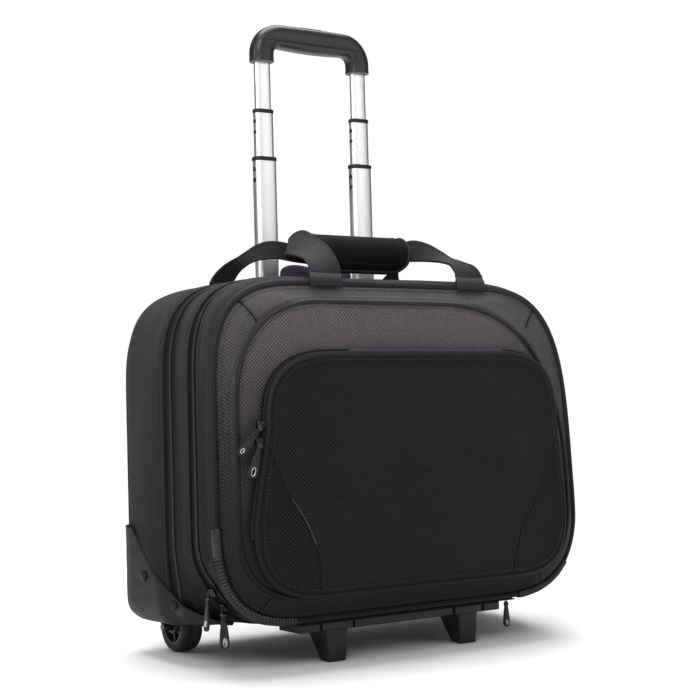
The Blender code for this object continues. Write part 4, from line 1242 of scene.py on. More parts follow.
def build_pocket_zip():
    """Coil and tape under the pocket piping, and a lining strip over the top."""
    length = run_of(POCKET_OUTLINE)[-1]
    path = stretch_of(POCKET_OUTLINE, 400, 110.0, length - 330.0)

    def beside(distance):
        return offset(path, distance)[2:-2]

    coil("pocket_zip_teeth", at_depth(beside(1.4), -21.0), (0, -1, 0), "front_lid",
         ("pocket_zip_coil",), size=0.9, pitch=1.4, closed=False)
    inside, outside = beside(-4.0), beside(4.6)
    rings = np.stack([at_depth(inside, -20.6), at_depth(outside, -20.2),
                      at_depth(outside, -19.4), at_depth(inside, -19.4)], 1)
    skin("pocket_zip_tape", rings, "front_lid", "tape")
    mouth = path[(path[:, 1] > 285) & (path[:, 0] > -84) & (path[:, 0] < 108)]
    # rise above the path, y
    section = ((1.5, -23.6), (4.4, -22.6), (4.9, -21.4), (1.5, -21.6))
    rings = np.stack([at_depth(mouth + [0, rise], y) for rise, y in section], 1)
    skin("pocket_mouth_lining", rings, "front_lid", "lining")


build_pocket_zip()

# ------------------------------------------------------------------ straps
# half of the webbing section (width, thickness), with rounded selvedges
WEBBING_HALF = [(-1, -.35), (-.985, -.8), (-.93, -1.0), (-.86, -.86), (-.5, -.9), (0, -.92),
                (.5, -.9), (.86, -.86), (.93, -1.0), (.985, -.8), (1, -.35)]
WEBBING_PROFILE = WEBBING_HALF + [(-a, -b) for a, b in WEBBING_HALF]


def strap(name, path, half_widths, half_thick, wide, body, replaces=(), stitched=True):
    """Webbing along a path, with two rows of stitches on each face."""
    count, size = len(path), len(WEBBING_PROFILE)
    tangent = unit(np.gradient(path, axis=0))
    wide = np.asarray(wide, float)
    wide = unit(wide - tangent * (wide * tangent).sum(1, keepdims=True))
    high = np.cross(tangent, wide)
    verts = [path[i] + wide[i] * half_widths[i] * a + high[i] * half_thick * b
             for i in range(count) for a, b in WEBBING_PROFILE]
    run = run_of(path, False) * 0.001
    faces, uvs = [], []
    for i in range(count - 1):
        for k in range(size):
            after = (k + 1) % size
            corners = ((i, k), (i, after), (i + 1, after), (i + 1, k))
            faces.append(tuple(a * size + b for a, b in corners))
            uvs += [(run[a], WEBBING_PROFILE[b][0] * half_widths[a] * 0.001)
                    for a, b in corners]
    last = (count - 1) * size
    faces.append(tuple(range(size))[::-1])
    faces.append(tuple(range(last, last + size)))
    uvs += [(0, 0)] * (2 * size)
    make(name, verts, faces, body, "webbing", uvs, replaces)
    if not stitched:
        return
    for side in (-1, 1):
        for face in (-1, 1):
            line = (path + wide * (half_widths * .84 * side)[:, None]
                    + high * (half_thick * .9 * face))
            stitches("%s_stitch_%d%d" % (name, side > 0, face > 0), line, high * face, body,
                     closed=False, pitch=3.2, length=2.3, radius=0.25, lift=0.05)


def ribbon(name, edge_a, edge_b, body, replaces=()):
    """Webbing between two edge curves: flat across, free to twist and fold."""
    def smooth_edge(points):
        curve = catmull(points, 16)
        run = run_of(curve, False)
        return sample(curve, run, np.linspace(0, run[-1], 110))

    edge_a, edge_b = smooth_edge(edge_a), smooth_edge(edge_b)
    wide = edge_a - edge_b
    strap(name, (edge_a + edge_b) / 2, np.linalg.norm(wide, axis=1) / 2, 1.25, wide, body,
          replaces)


# Per strap: the two edges of each leg, then the run through the wrap with its half
# width and half thickness.
STRAPS = (
    ("front_strap", "front_handle",
     ([(-73.0, 4.2, 360.0), (-72.2, 4.6, 370.0), (-71.7, 5, 378.1), (-73.4, 9, 389.4),
       (-76.6, 16, 399.9), (-79.3, 26, 407.8), (-80.7, 38, 415.1), (-82.2, 50, 419.5),
       (-86.0, 62, 417.4), (-87.5, 71, 413.0), (-80.0, 76.5, 411.0), (-66, 77, 410),
       (-52, 76, 408)],
      [(-108.1, 4.2, 360.0), (-107.0, 4.6, 368.0), (-106.2, 5, 374.1), (-106.2, 9, 381.0),
       (-105.6, 16, 386.5), (-104.4, 26, 390.2), (-102.9, 38, 392.8), (-100.9, 50, 395.0),
       (-98.7, 62, 396.0), (-93.0, 72, 395.5), (-82, 77.5, 394.5), (-66, 78, 393),
       (-52, 77, 392)]),
     ([(104.4, 4.2, 359.0), (106.2, 4.6, 366.0), (106.7, 4.6, 371.8), (103.1, 7, 380.5),
       (92.7, 14, 388.2), (83.2, 22, 393.9), (78.5, 36, 403.7), (73.8, 52, 412.8),
       (67.4, 68, 417.8), (58.5, 74, 413.5), (46, 75.5, 409), (30, 76, 407)],
      [(70.5, 4.2, 359.0), (71.0, 4.6, 366.0), (71.3, 5, 373.0), (70.6, 10, 382.9),
       (71.6, 18, 388.9), (70.4, 26, 391.0), (68.4, 36, 392.2), (65.9, 48, 393.4),
       (61.5, 62, 394.6), (54.6, 73, 395.2), (44, 77, 394), (30, 77.5, 392)]),
     [(-54, 76.5, 400), (-30, 76, 399), (0, 76, 399), (20, 76, 399), (34, 76.6, 400)],
     8.5, 1.4),
    ("rear_strap", "case",
     ([(-145.5, 131, 364.0), (-144.6, 131, 370.4), (-136.5, 131, 380.6),
       (-127.5, 129, 388.6), (-118.1, 125, 395.1), (-110.0, 119, 402.8),
       (-103.7, 112, 408.9), (-96.5, 100, 412.5), (-86.0, 88, 411.2), (-70, 83.5, 407),
       (-54, 82.5, 405)],
      [(-118.8, 131, 366.0), (-118.0, 131, 374.8), (-114.7, 128, 382.0),
       (-111.7, 124, 387.9), (-108.6, 117, 392.8), (-104.2, 108, 396.0), (-97.0, 97, 396.9),
       (-86.0, 88, 396.0), (-70, 84, 392), (-54, 83, 390)]),
     ([(96.0, 131, 366.0), (95.4, 131, 374.0), (92.0, 130, 384.0), (86.5, 124, 393.5),
       (80.0, 115, 400.0), (72.0, 101, 404.5), (61.0, 89, 405.5), (46, 83.5, 404),
       (30, 82.5, 403)],
      [(68.0, 131, 368.0), (68.6, 131, 375.0), (69.4, 129, 381.0), (70.5, 124, 385.0),
       (70.4, 115, 387.6), (66.4, 101, 389.0), (58, 90, 389.6), (46, 84.5, 389.0),
       (30, 83.5, 388)]),
     [(-56, 83, 397.5), (-30, 82.5, 396.5), (0, 82.5, 396), (20, 82.5, 396), (34, 83, 396)],
     7.2, 1.3),
)
for name, body, left_edges, right_edges, grip_points, half_width, half_thick in STRAPS:
    ribbon(name + "_left", *left_edges, body, (name,))
    ribbon(name + "_right", *right_edges, body)
    path = catmull(grip_points, 14)
    strap(name + "_grip", path, np.full(len(path), half_width), half_thick,
          (0.0, 0.05, 1.0), body, stitched=False)

for side, x in (("left", -90.0), ("right", 88.5)):
    corners = [(x - 12, 3.2, 368), (x + 12, 3.2, 368), (x + 12, 3.2, 374), (x - 12, 3.2, 374)]
    path = dense(corners, 1.5, True)
    stitches("foot_stitch_front_" + side, path, np.tile([0, -1, 0], (len(path), 1)),
             "front_handle")


def build_sleeve_flap():
    """Thin padded flap across the telescopic tubes, above the body."""
    angles = np.linspace(0, 2 * math.pi, 96, endpoint=False)

    def squared(wave):
        return np.sign(wave) * np.abs(wave) ** .35

    x = squared(np.cos(angles)) * 46.0
    z = squared(np.sin(angles)) * 15.0
    z = np.where(z > 0, z * (1 - .10 * np.cos(x / 46.0 * 5.0)), z)
    stations = []
    # scale, thickness
    for factor, thick in ((.02, 1.9), (.5, 2.1), (.9, 2.0), (.98, 1.4), (1.0, 0.0),
                          (.98, -1.4), (.9, -2.0), (.5, -2.1), (.02, -1.9)):
        y = 154.0 + thick + 1.2 * np.sin(x / 15.0)
        ring = np.stack([x * factor, y, 381.0 + z * factor], 1)
        stations.append((ring, 1.0 if abs(thick) < 1.5 else 0.0, 0, True))
    return loft("sleeve_flap", stations, "case", ["lining"])


sleeve_flap = build_sleeve_flap()

# ------------------------------------------------------------------ padded wrap
WRAP_Y, WRAP_Z = 72.0, 398.0
WRAP_LEFT, WRAP_RIGHT = -70.0, 50.0
WRAP_STEPS, WRAP_AROUND = 46, 40
WRAP_START, WRAP_SPAN = math.radians(-4), math.radians(244)


def wrap_ring(step):
    """Section of the open padded sleeve: outer face, then the inner face back."""
    width = WRAP_RIGHT - WRAP_LEFT
    x = WRAP_LEFT + width * step / WRAP_STEPS
    from_end = min(step, WRAP_STEPS - step) / WRAP_STEPS * width
    girth = 0.95 + 0.05 * min(1.0, from_end / 10.0) ** .5
    near = max(0.0, 1 - from_end / 24.0)
    cut_back = math.radians(62.0) * (1 - math.sqrt(max(0.0, 1 - near * near)))
    thick = 5.2 * min(1.0, .45 + from_end / 8.0)
    start, end = WRAP_START + cut_back, WRAP_START + WRAP_SPAN - cut_back
    last = WRAP_AROUND - 1
    outer, inner = [], []
    for k in range(WRAP_AROUND):
        angle = start + (end - start) * k / last
        pad = thick * (0.5 + .5 * min(1.0, min(k, last - k) / 4.0))
        y = WRAP_Y + 20.0 * girth * math.cos(angle)
        z = WRAP_Z + 21.6 * girth * math.sin(angle)
        outer.append((x, y, z))
        inner.append((x, y - pad * math.cos(angle), z - pad * math.sin(angle)))
    return outer + inner[::-1]


def wrap_loop(rings, inset_x, inset_around):
    """Closed line on the outer face, inset from its edges, and its normals."""
    rings = rings[inset_x:len(rings) - inset_x]
    low, high = inset_around, WRAP_AROUND - 1 - inset_around
    path = np.concatenate([rings[:, low], rings[-1, low:high + 1], rings[::-1, high],
                           rings[0, low:high + 1][::-1]])
    return path, unit(path - np.stack([path[:, 0], np.full(len(path), WRAP_Y),
                                       np.full(len(path), WRAP_Z)], 1))


def build_wrap():
    rings = np.array([wrap_ring(i) for i in range(WRAP_STEPS + 1)])
    slits = [((ring + ring[::-1]) / 2 + np.array([shift, 0, 0]))[None]
             for ring, shift in ((rings[0], -1.0), (rings[-1], 1.0))]
    stack = np.concatenate([slits[0], rings, slits[1]])
    wrap = skin("handle_wrap_padded", stack, "front_handle", "wrap",
                ("handle_wrap",), caps=False)
    count, size = stack.shape[:2]
    last = WRAP_AROUND - 1
    edges = (0, 1, last - 1, last, last + 1, last + 2, size - 2, size - 1)
    soften(wrap, [(i * size + k, 1.0) for i in range(count) for k in range(size)
                  if i < 3 or i >= count - 3 or k in edges], limit=0.003)
    subdivide(wrap)
    path, normals = wrap_loop(rings, 0, 2)
    tube("wrap_binding", dense(path + normals * .3, 2.0, True), 1.5, "front_handle",
         closed=True, up=(1, .3, .2), sides=10)
    path, normals = wrap_loop(rings, 4, 6)
    stitches("wrap_stitch", path + normals * .15, normals, "front_handle")


build_wrap()


# ------------------------------------------------------------------ hard parts
def carry(node, material, bevel=0.35, segments=2, flat=35.0):
    """Finished copy of a CAD node: welded, edges softened by bevel (mm), own material."""
    source = NODES[node]
    name = node + "_finish"
    bm = bmesh.new()
    bm.from_mesh(source.data)
    bmesh.ops.remove_doubles(bm, verts=bm.verts, dist=0.00003)
    bmesh.ops.dissolve_limit(bm, angle_limit=math.radians(1.0), verts=bm.verts,
                             edges=bm.edges)
    mesh = bpy.data.meshes.new(name)
    bm.to_mesh(mesh)
    bm.free()
    mesh.materials.append(MATERIALS[material])
    smooth_faces(mesh)
    mesh.set_sharp_from_angle(angle=math.radians(flat))
    ob = place(name, mesh)
    if bevel:
        edge = ob.modifiers.new("edge", "BEVEL")
        edge.width = bevel * 0.001
        edge.segments = segments
        edge.limit_method = "ANGLE"
        edge.angle_limit = math.radians(flat)
        edge.harden_normals = False
    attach(ob, source["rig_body"])
    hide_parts(node)
    return ob


def remould(ob):
    """Even fine mesh for a moulding that is bent afterwards, its edges slightly rounded."""
    even = ob.modifiers.new("even", "REMESH")
    even.mode = "VOXEL"
    even.voxel_size = 0.0011
    graph = bpy.context.evaluated_depsgraph_get()
    graph.update()
    evaluated = ob.evaluated_get(graph)
    source = evaluated.to_mesh()
    points = read_points(source)
    faces = [tuple(face.vertices) for face in source.polygons]
    edges = np.zeros(len(source.edges) * 2, np.int64)
    source.edges.foreach_get("vertices", edges)
    evaluated.to_mesh_clear()
    degree = np.bincount(edges, minlength=len(points)).astype(float)[:, None]
    starts, ends = edges.reshape(-1, 2).T
    for _ in range(4):
        for strength in (0.55, -0.57):      # relax, then swell back
            total = np.zeros_like(points)
            np.add.at(total, starts, points[ends])
            np.add.at(total, ends, points[starts])
            points = points + strength * (total / np.maximum(degree, 1) - points)
    mesh = bpy.data.meshes.new(ob.name)
    mesh.from_pydata(points.tolist(), [], faces)
    for material in ob.data.materials:
        mesh.materials.append(material)
    smooth_faces(mesh)
    mesh.update()
    ob.modifiers.remove(even)
    ob.data = mesh


GUARD_STRETCH_Z, GUARD_STRETCH = 0.035, 0.20    # world metres; stretch above that height


def guard_rise(z):
    return np.maximum(0.0, z - GUARD_STRETCH_Z) * GUARD_STRETCH


def build_guard(side):
    guard = carry("corner_guard_" + side, "guard", bevel=0)
    remould(guard)
    points = read_points(guard.data)
    points[:, 2] += guard_rise(points[:, 2])
    write_points(guard.data, points)
    round_rear(guard, 3.0)
    for level in ("upper", "lower"):
        rivet = carry("guard_rivet_%s_%s" % (side, level), "guard", bevel=0.25)
        points = read_points(rivet.data)
        centre = points.mean(0)
        points[:, 1:] = centre[1:] + (points[:, 1:] - centre[1:]) * 1.3
        points[:, 2] += guard_rise(centre[2])
        write_points(rivet.data, points)


for side, _ in SIDES:
    build_guard(side)
    carry("axle_" + side, "rivet", bevel=0.3, segments=1)
    carry("fixed_tube_" + side, "fixed_tube", bevel=0.2, segments=1)
    for stage in ("lower", "middle", "upper"):
        carry("%s_tube_%s" % (stage, side), "tube", bevel=0.15,
              segments=1, flat=40)
    for stage in ("lower", "middle"):
        carry("%s_bush_%s" % (stage, side), "bush")
carry("back_board", "board", bevel=0.3, segments=1)

base_board = carry("base_board", "base", bevel=0.5)
points = read_points(base_board.data)       # shorter at the back and at the front
points[points[:, 1] > 0.09, 1] -= 0.030
points[points[:, 1] < -0.06, 1] += 0.040
write_points(base_board.data, points)

base_bar = carry("base_bar", "base", bevel=0.8, segments=3)
points = read_points(base_bar.data)         # taller
points[points[:, 2] > 0.0338, 2] += 0.0034
write_points(base_bar.data, points)

carry("handle_bezel", "guard", bevel=0.6)
carry("release_yoke", "bush", bevel=0.3, segments=1)
MAIN_SLIDERS = ("rear_zip_slider", "front_zip_slider_a", "front_zip_slider_b",
                "front_zip_slider_c")
for node in MAIN_SLIDERS + ("pocket_zip_slider_a", "pocket_zip_slider_b"):
    carry(node, "slider", bevel=0.5, segments=3)

# lock buttons: small domes on the -X side of both tubes
# radius factor, height factor
DOME = ((1.0, -.4), (1.0, .25), (.9, .7), (.65, .93), (.3, 1.0), (.05, 1.0))
LOCK_RADIUS, LOCK_HEIGHT = 2.5, 0.8
for side, sign in SIDES:
    for stage, half, top in (("lower", 12.2, 505.7), ("middle", 10.6, 556.4)):
        for k, below in enumerate((9.0, 20.5)):
            rings = [[(sign * TUBE_X - half - LOCK_HEIGHT * rise, TUBE_Y + y * spread,
                       top - below - z * spread) for y, z in circle(LOCK_RADIUS, 20)]
                     for spread, rise in DOME]
            skin("%s_lock_%s_%d" % (stage, side, k), rings, "trolley_" + stage, "bush")

# ------------------------------------------------------------------ grip
GRIP_TOP_Z = 652.0
GRIP_END_Z = 611.2          # lower ends of the two legs
GRIP_SPLIT_Z = 634.0
GRIP_BEND = 20.0
TUBE_SOCKETS = [(x - 9.4, x + 9.4, TUBE_Y - 4.4, TUBE_Y + 4.4, 600, 624.5)
                for x in (-TUBE_X, TUBE_X)]


def grip_rings(shrink=0.0):
    """Rings along the arch from the left leg to the right one."""
    bar_z = GRIP_TOP_Z - 12.0
    bend_z = bar_z - GRIP_BEND
    turn = np.linspace(0, math.pi / 2, 20, endpoint=False)
    path = [(-TUBE_X, z) for z in np.linspace(GRIP_END_Z, bend_z, 12, endpoint=False)]
    path += [(-TUBE_X + GRIP_BEND - GRIP_BEND * math.cos(t), bend_z + GRIP_BEND * math.sin(t))
             for t in turn]
    path += [(x, bar_z) for x in np.linspace(-TUBE_X + GRIP_BEND, TUBE_X - GRIP_BEND, 60,
                                             endpoint=False)]
    path += [(TUBE_X - GRIP_BEND + GRIP_BEND * math.sin(t), bend_z + GRIP_BEND * math.cos(t))
             for t in turn]
    path += [(TUBE_X, z) for z in np.linspace(bend_z, GRIP_END_Z, 13)]
    path = np.array(path)
    rings = []
    for (x, z), normal in zip(path, normals_of(path, False)):
        level = abs(normal[1])          # 1 on the bar, 0 on the legs
        outer = 12.6 - 1.1 * (x / 60.0) ** 2 * level + 0.6 * level
        inner = 12.4 - 0.4 * level
        if abs(x) < 42 and level > .9:
            inner += 1.6 * math.cos(x / 42.0 * math.pi / 2)
        collar = 1.0
        if z < 616.0 and level < .2:
            collar = 1.0 + 0.02 * max(0.0, (614.5 - z) / 3.0)
        depth = 21.0 + 1.6 * level
        ring = []
        for a, b in rounded_rect(2.0, 2.0, 0.78, 7):
            out = (outer if a > 0 else inner) * a * collar - shrink * np.sign(a)
            ring.append((x + normal[0] * out, TUBE_Y + b * (depth / 2 * collar - shrink),
                         z + normal[1] * out))
        rings.append(ring)
    return np.array(rings)


def grip_half(name, plane_z, below, replaces, cutters):
    """Part of the grip shell below or above a level plane, capped and cut out."""
    rings = grip_rings()
    count, size = rings.shape[:2]
    faces, _ = strip_faces(rings, np.zeros(size), False)
    last = (count - 1) * size
    faces += [tuple(range(size))[::-1], tuple(range(last, last + size))]
    bm = bmesh.new()
    verts = [bm.verts.new(point) for point in rings.reshape(-1, 3)]
    for face in faces:
        bm.faces.new([verts[k] for k in face])
    bmesh.ops.bisect_plane(bm, geom=list(bm.verts) + list(bm.edges) + list(bm.faces),
                           dist=1e-5, plane_co=(0, 0, plane_z), plane_no=(0, 0, 1),
                           clear_outer=below, clear_inner=not below)
    bmesh.ops.holes_fill(bm, edges=[e for e in bm.edges if e.is_boundary], sides=0)
    bmesh.ops.recalc_face_normals(bm, faces=bm.faces)
    bm.verts.ensure_lookup_table()
    bm.verts.index_update()
    points = [tuple(v.co) for v in bm.verts]
    faces = [tuple(v.index for v in face.verts) for face in bm.faces]
    bm.free()
    ob = make(name, points, faces, "trolley_upper", "grip", None, replaces)
    ob.data.set_sharp_from_angle(angle=math.radians(40))
    edge = ob.modifiers.new("edge", "BEVEL")
    edge.width = 0.0007
    edge.segments = 3
    edge.limit_method = "ANGLE"
    edge.angle_limit = math.radians(50)
    cut_with(ob, cutters)
    ob.data.set_sharp_from_angle(angle=math.radians(40))


grip_half("grip_lower_shell", GRIP_SPLIT_Z - .25, True, ("grip_shell_lower",), TUBE_SOCKETS)
grip_half("grip_upper_shell", GRIP_SPLIT_Z + .25, False, ("grip_shell_upper",),
          [(-17.0, 17.0, TUBE_Y - 5.4, TUBE_Y + 5.4, 650.2, 670)])
core = skin("grip_core", grip_rings(shrink=1.0)[2:-2], "trolley_upper", "bush")
cut_with(core, [(-69.3, 69.3, TUBE_Y - 5.2, TUBE_Y + 5.2,
                 GRIP_SPLIT_Z - 6.8, GRIP_SPLIT_Z + 5.2)])
cut_with(core, TUBE_SOCKETS + [(-17.2, 17.2, TUBE_Y - 5.6, TUBE_Y + 5.6, 645.0, 670)])

# z, narrowing
BUTTON_LEVELS = ((646.0, 0), (651.8, 0), (652.8, .5), (653.4, 1.6), (653.8, 3.6))
rings = [[(a, TUBE_Y + b, z) for a, b in rounded_rect(33.0 - less, 10.0 - less,
                                                      4.9 - less / 2, 6)]
         for z, less in BUTTON_LEVELS]
skin("release_button_cap", rings, "release", "button", ("release_button",))

# ------------------------------------------------------------------ wheels
WHEEL_HALF = 11.0


def mirrored(half):
    return half + [(radius, -x) for radius, x in half[::-1]]


# profiles of (radius, x from the wheel's middle)
TYRE = mirrored([(18.1, -WHEEL_HALF), (19.2, -WHEEL_HALF - .1), (20.2, -WHEEL_HALF + .35),
                 (21.4, -WHEEL_HALF + .35), (22.4, -WHEEL_HALF), (23.6, -WHEEL_HALF + .7),
                 (24.5, -WHEEL_HALF + 2.0), (25, -WHEEL_HALF + 4.2), (25, -2.2), (24.5, -1.7),
                 (24.5, -1.1), (25, -.6)])
HUB_RIM = mirrored([(15.2, -WHEEL_HALF + 2.2), (15.8, -WHEEL_HALF + .5),
                    (17.9, -WHEEL_HALF + .3)])
HUB_BOSS = [(4.5, -WHEEL_HALF + .2), (7.0, -WHEEL_HALF + .2), (7.6, -WHEEL_HALF + 1.0),
            (7.8, WHEEL_HALF - 1.0), (7.0, WHEEL_HALF - .2), (4.5, WHEEL_HALF - .2)]
HUB_WEB = mirrored([(7.2, -1.6), (15.6, -1.6)])
AXLE_CAP = mirrored([(.05, -WHEEL_HALF - .1), (3.4, -WHEEL_HALF - .1),
                     (3.9, -WHEEL_HALF + .5)])


def lathe(name, profile, centre, body, material, replaces=(), count=96):
    """Closed profile turned about a line along X."""
    rings = [[(centre[0] + x, centre[1] + a, centre[2] + b) for a, b in circle(radius, count)]
             for radius, x in profile]
    ob = skin(name, rings, body, material, replaces, loop=True)
    ob.data.set_sharp_from_angle(angle=math.radians(45))


def build_wheel(side, sign):
    centre = (sign * 178.5, 145.0, 32.18)
    body = "wheel_" + side
    lathe("tyre_moulded_" + side, TYRE, centre, body, "tyre", ("tyre_" + side,))
    lathe("hub_rim_" + side, HUB_RIM, centre, body, "hub", ("hub_" + side,))
    lathe("hub_boss_" + side, HUB_BOSS, centre, body, "hub")
    lathe("hub_web_" + side, HUB_WEB, centre, body, "hub")
    verts, faces = [], []
    spoke_half = WHEEL_HALF - 2.4
    for k in range(6):
        cosine, sine = math.cos(math.pi / 3 * k), math.sin(math.pi / 3 * k)
        box_verts, box_faces = box(-spoke_half, spoke_half, -1.3, 1.3, 7.4, 15.6)
        faces += [tuple(i + len(verts) for i in face) for face in box_faces]
        verts += [(centre[0] + x, centre[1] + y * cosine - z * sine,
                   centre[2] + y * sine + z * cosine) for x, y, z in box_verts]
    spokes = make("hub_spokes_" + side, verts, faces, body, "hub", None,
                  smooth=False)
    edge = spokes.modifiers.new("edge", "BEVEL")
    edge.width = 0.0005
    edge.segments = 2
    lathe("axle_cap_" + side, AXLE_CAP, centre, body, "rivet", count=32)


for side, sign in SIDES:
    build_wheel(side, sign)


# ------------------------------------------------------------------ zip pulls
def build_pull(node, wide, eye_long, eye_wide):
    """Moulded pull with a rimmed eyelet, a link and a crimp, on the line of the CAD pull.

    wide is half the pull's width; the eye sizes are half axes."""
    source = NODES[node]
    body = source["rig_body"]
    points = world_to_case(read_points(source.data))
    centre = points.mean(0)
    _, _, axes = np.linalg.svd(points - centre)
    along, across = axes[0], axes[1]
    if along[2] > 0:
        along = -along
    up = np.cross(along, across)
    reach, spread, rise = ((points - centre) @ axis for axis in (along, across, up))
    middle = (centre + across * (spread.max() + spread.min()) / 2
              + up * ((rise.max() + rise.min()) / 2))
    start = middle + along * reach.min()
    length = reach.max() - reach.min()
    round_end = wide * 1.25
    eye = length - round_end
    angles = np.linspace(0, 2 * math.pi, 56, endpoint=False)
    hole = [(eye + eye_long * math.cos(t), eye_wide * math.sin(t)) for t in angles]
    outer = []
    for t in angles:
        rounded = math.cos(t) > 0
        x = eye + (round_end if rounded else eye - 1.0) * math.cos(t)
        back = max(0.0, min(1.0, (eye - x) / max(eye, 1e-6)))
        half = wide * (1 - .48 * (back * back * (3 - 2 * back))) if math.cos(t) < 0 else wide
        power = .8 if rounded else .42
        outer.append((x, half * math.copysign(abs(math.sin(t)) ** power, math.sin(t))))

    def ring(outline, inward, height):
        return [start + along * (a + (eye - a) * inward) + across * b * (1 - inward)
                + up * height for a, b in outline]

    thick = 1.35
    # outline, inward, height
    section = ((outer, .0, -thick * .45), (outer, .0, thick * .45), (outer, .06, thick * .9),
               (outer, .12, thick), (hole, -.28, thick), (hole, -.1, thick * .8),
               (hole, 0, 0), (hole, -.1, -thick * .8), (hole, -.28, -thick),
               (outer, .12, -thick), (outer, .06, -thick * .9))
    skin(node + "_moulded", [ring(*row) for row in section], body, "pull",
         (node,), loop=True)
    rim = [start + along * a + across * b for a, b in hole]
    tube(node + "_eyelet", rim, None, body, "eyelet", closed=True, up=up,
         profile=[(a * .8, b * 1.9) for a, b in circle(.85, 10)])
    link = [start + along * (-1.2 + 1.9 * math.cos(t)) + across * (1.5 * math.sin(t))
            for t in np.linspace(0, 2 * math.pi, 28, endpoint=False)]
    tube(node + "_link", link, .55, body, "slider", closed=True, up=up, sides=8)
    # distance along the pull, size
    crimp = [[start + along * a + (across * (wide * .62) * x + up * (thick * 1.25) * y) * size
              for x, y in rounded_rect(2.0, 2.0, .5, 4)]
             for a, size in ((1.0, .85), (1.3, 1), (4.6, 1), (4.9, .85))]
    skin(node + "_crimp", crimp, body, "slider")


for node in [n for n in NODES if "puller" in n]:
    if node.endswith("_b"):
        build_pull(node, wide=4.9, eye_long=4.0, eye_wide=2.0)
    else:
        build_pull(node, wide=3.9, eye_long=2.6, eye_wide=1.5)

# ------------------------------------------------------------------ strap ends
# y, z of the webbing folded over the outer piping
TAB = np.array([(5.2, 376.4), (4.3, 373.6), (1.9, 371.8), (-1.8, 370.6), (-5.0, 368.2),
                (-6.5, 364.6), (-6.8, 361.6), (-6.4, 359.6)])


def build_tab(side, left, right):
    path = sample(TAB, np.arange(8), np.linspace(0, 7, 36))
    for _ in range(3):
        path[1:-1] = (path[:-2] + 2 * path[1:-1] + path[2:]) / 4
    steps = unit(np.gradient(path, axis=0))
    normals = np.stack([steps[:, 1], -steps[:, 0]], 1)
    across = np.linspace(left, right, 14)
    section = [(x, .6) for x in across] + [(right + .5, 0.0)]
    section += [(x, -.6) for x in across[::-1]] + [(left - .5, 0.0)]
    rings = [[(x + 0.58 * (y - 4.6), y + normal[0] * out, z + normal[1] * out)
              for x, out in section] for (y, z), normal in zip(path, normals)]
    skin("front_strap_tab_" + side, rings, "front_lid", "webbing")


build_tab("left", -107.4, -72.0)
build_tab("right", 71.0, 106.4)

# ------------------------------------------------------------------ lower corners
PROFILE_Y = np.linspace(-6.0, 190.0, 50)
GUSSETS = [gusset_outline(min(max(y, 0.5), 186.0)) for y in PROFILE_Y]
PROFILE_X = [outline[:, 0].max() for outline in GUSSETS]
PROFILE_Z = [outline[:, 1].min() for outline in GUSSETS]


def smoothstep(value, low, high):
    t = np.clip((value - low) / (high - low), 0, 1)
    return t * t * (3 - 2 * t)


def corner_shift(points):
    """Shift in case mm that opens the lower corners' radius behind the front piping."""
    x, y, z = points.T
    half, bottom = np.interp(y, PROFILE_Y, PROFILE_X), np.interp(y, PROFILE_Y, PROFILE_Z)
    radius, old_radius = LOWER_CORNER_RADIUS, 46.0
    out = np.abs(x) - (half - radius)
    down = bottom + radius - z
    reach = np.maximum(np.sqrt(out * out + down * down), 1e-6)
    dir_out, dir_down = out / reach, down / reach
    gap = radius - old_radius
    # distance to the present edge along the same direction: old arc or straight side
    along = (dir_out + dir_down) * gap
    inside = np.maximum(along * along - (2 * gap * gap - old_radius * old_radius), 0)
    arc = along + np.sqrt(inside)
    side = np.minimum(radius / np.maximum(dir_out, 1e-6), radius / np.maximum(dir_down, 1e-6))
    on_side = np.minimum(side * dir_out, side * dir_down) <= gap
    edge = np.where(on_side, side, np.minimum(arc, side))
    weight = (smoothstep(y, 6.0, 26.0) * (1 - 0.55 * smoothstep(y, 45.0, 80.0))
              * (1 - smoothstep(y, 80.0, 112.0)))
    weight = (weight * np.where((out > 0) & (down > 0), 1.0, 0.0)
              * smoothstep(reach / edge, 0.35, 0.95))
    pull = (edge - radius) * weight
    return np.stack([-np.sign(x) * dir_out * pull, np.zeros_like(x), 0.5 * dir_down * pull], 1)


SLIDER_CENTRES = [read_points(NODES[node].data).mean(0) for node in MAIN_SLIDERS]
UNSHIFTED = ("wheel", "tyre", "rim", "axle", "hub", "base_", "foot")


def open_corner(ob):
    points = read_points(ob.data)
    case_points = world_to_case(points)
    if "zip_slider" in ob.name or "puller" in ob.name:      # these move as a whole
        if "pocket" in ob.name:
            return
        top = points[points[:, 2].argmax()]
        centre = min(SLIDER_CENTRES, key=lambda c: np.linalg.norm(c - top))
        shift = np.repeat(corner_shift(world_to_case(centre[None])), len(points), 0)
    else:
        shift = corner_shift(case_points)
    if np.abs(shift).max(initial=0.0) >= 1e-4:
        write_points(ob.data, case_to_world(case_points + shift))


meshes = [ob for ob in bpy.context.scene.objects if ob.type == "MESH"]
for ob in meshes:
    if (ob.name not in NODES and not ob.name.startswith(UNSHIFTED)
            and np.allclose(np.array(ob.matrix_world), np.eye(4))):
        open_corner(ob)
for ob in meshes:
    if ob.get("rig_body") == "case" and ("stitch" in ob.name or "seam" in ob.name):
        round_rear(ob, 0.35)

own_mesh(sleeve_flap)

# every CAD node has to be replaced by now
unfinished = [name for name, ob in NODES.items() if not ob.hide_render]
assert not unfinished, unfinished

# ------------------------------------------------------------------ stage (world metres)
scene = bpy.context.scene


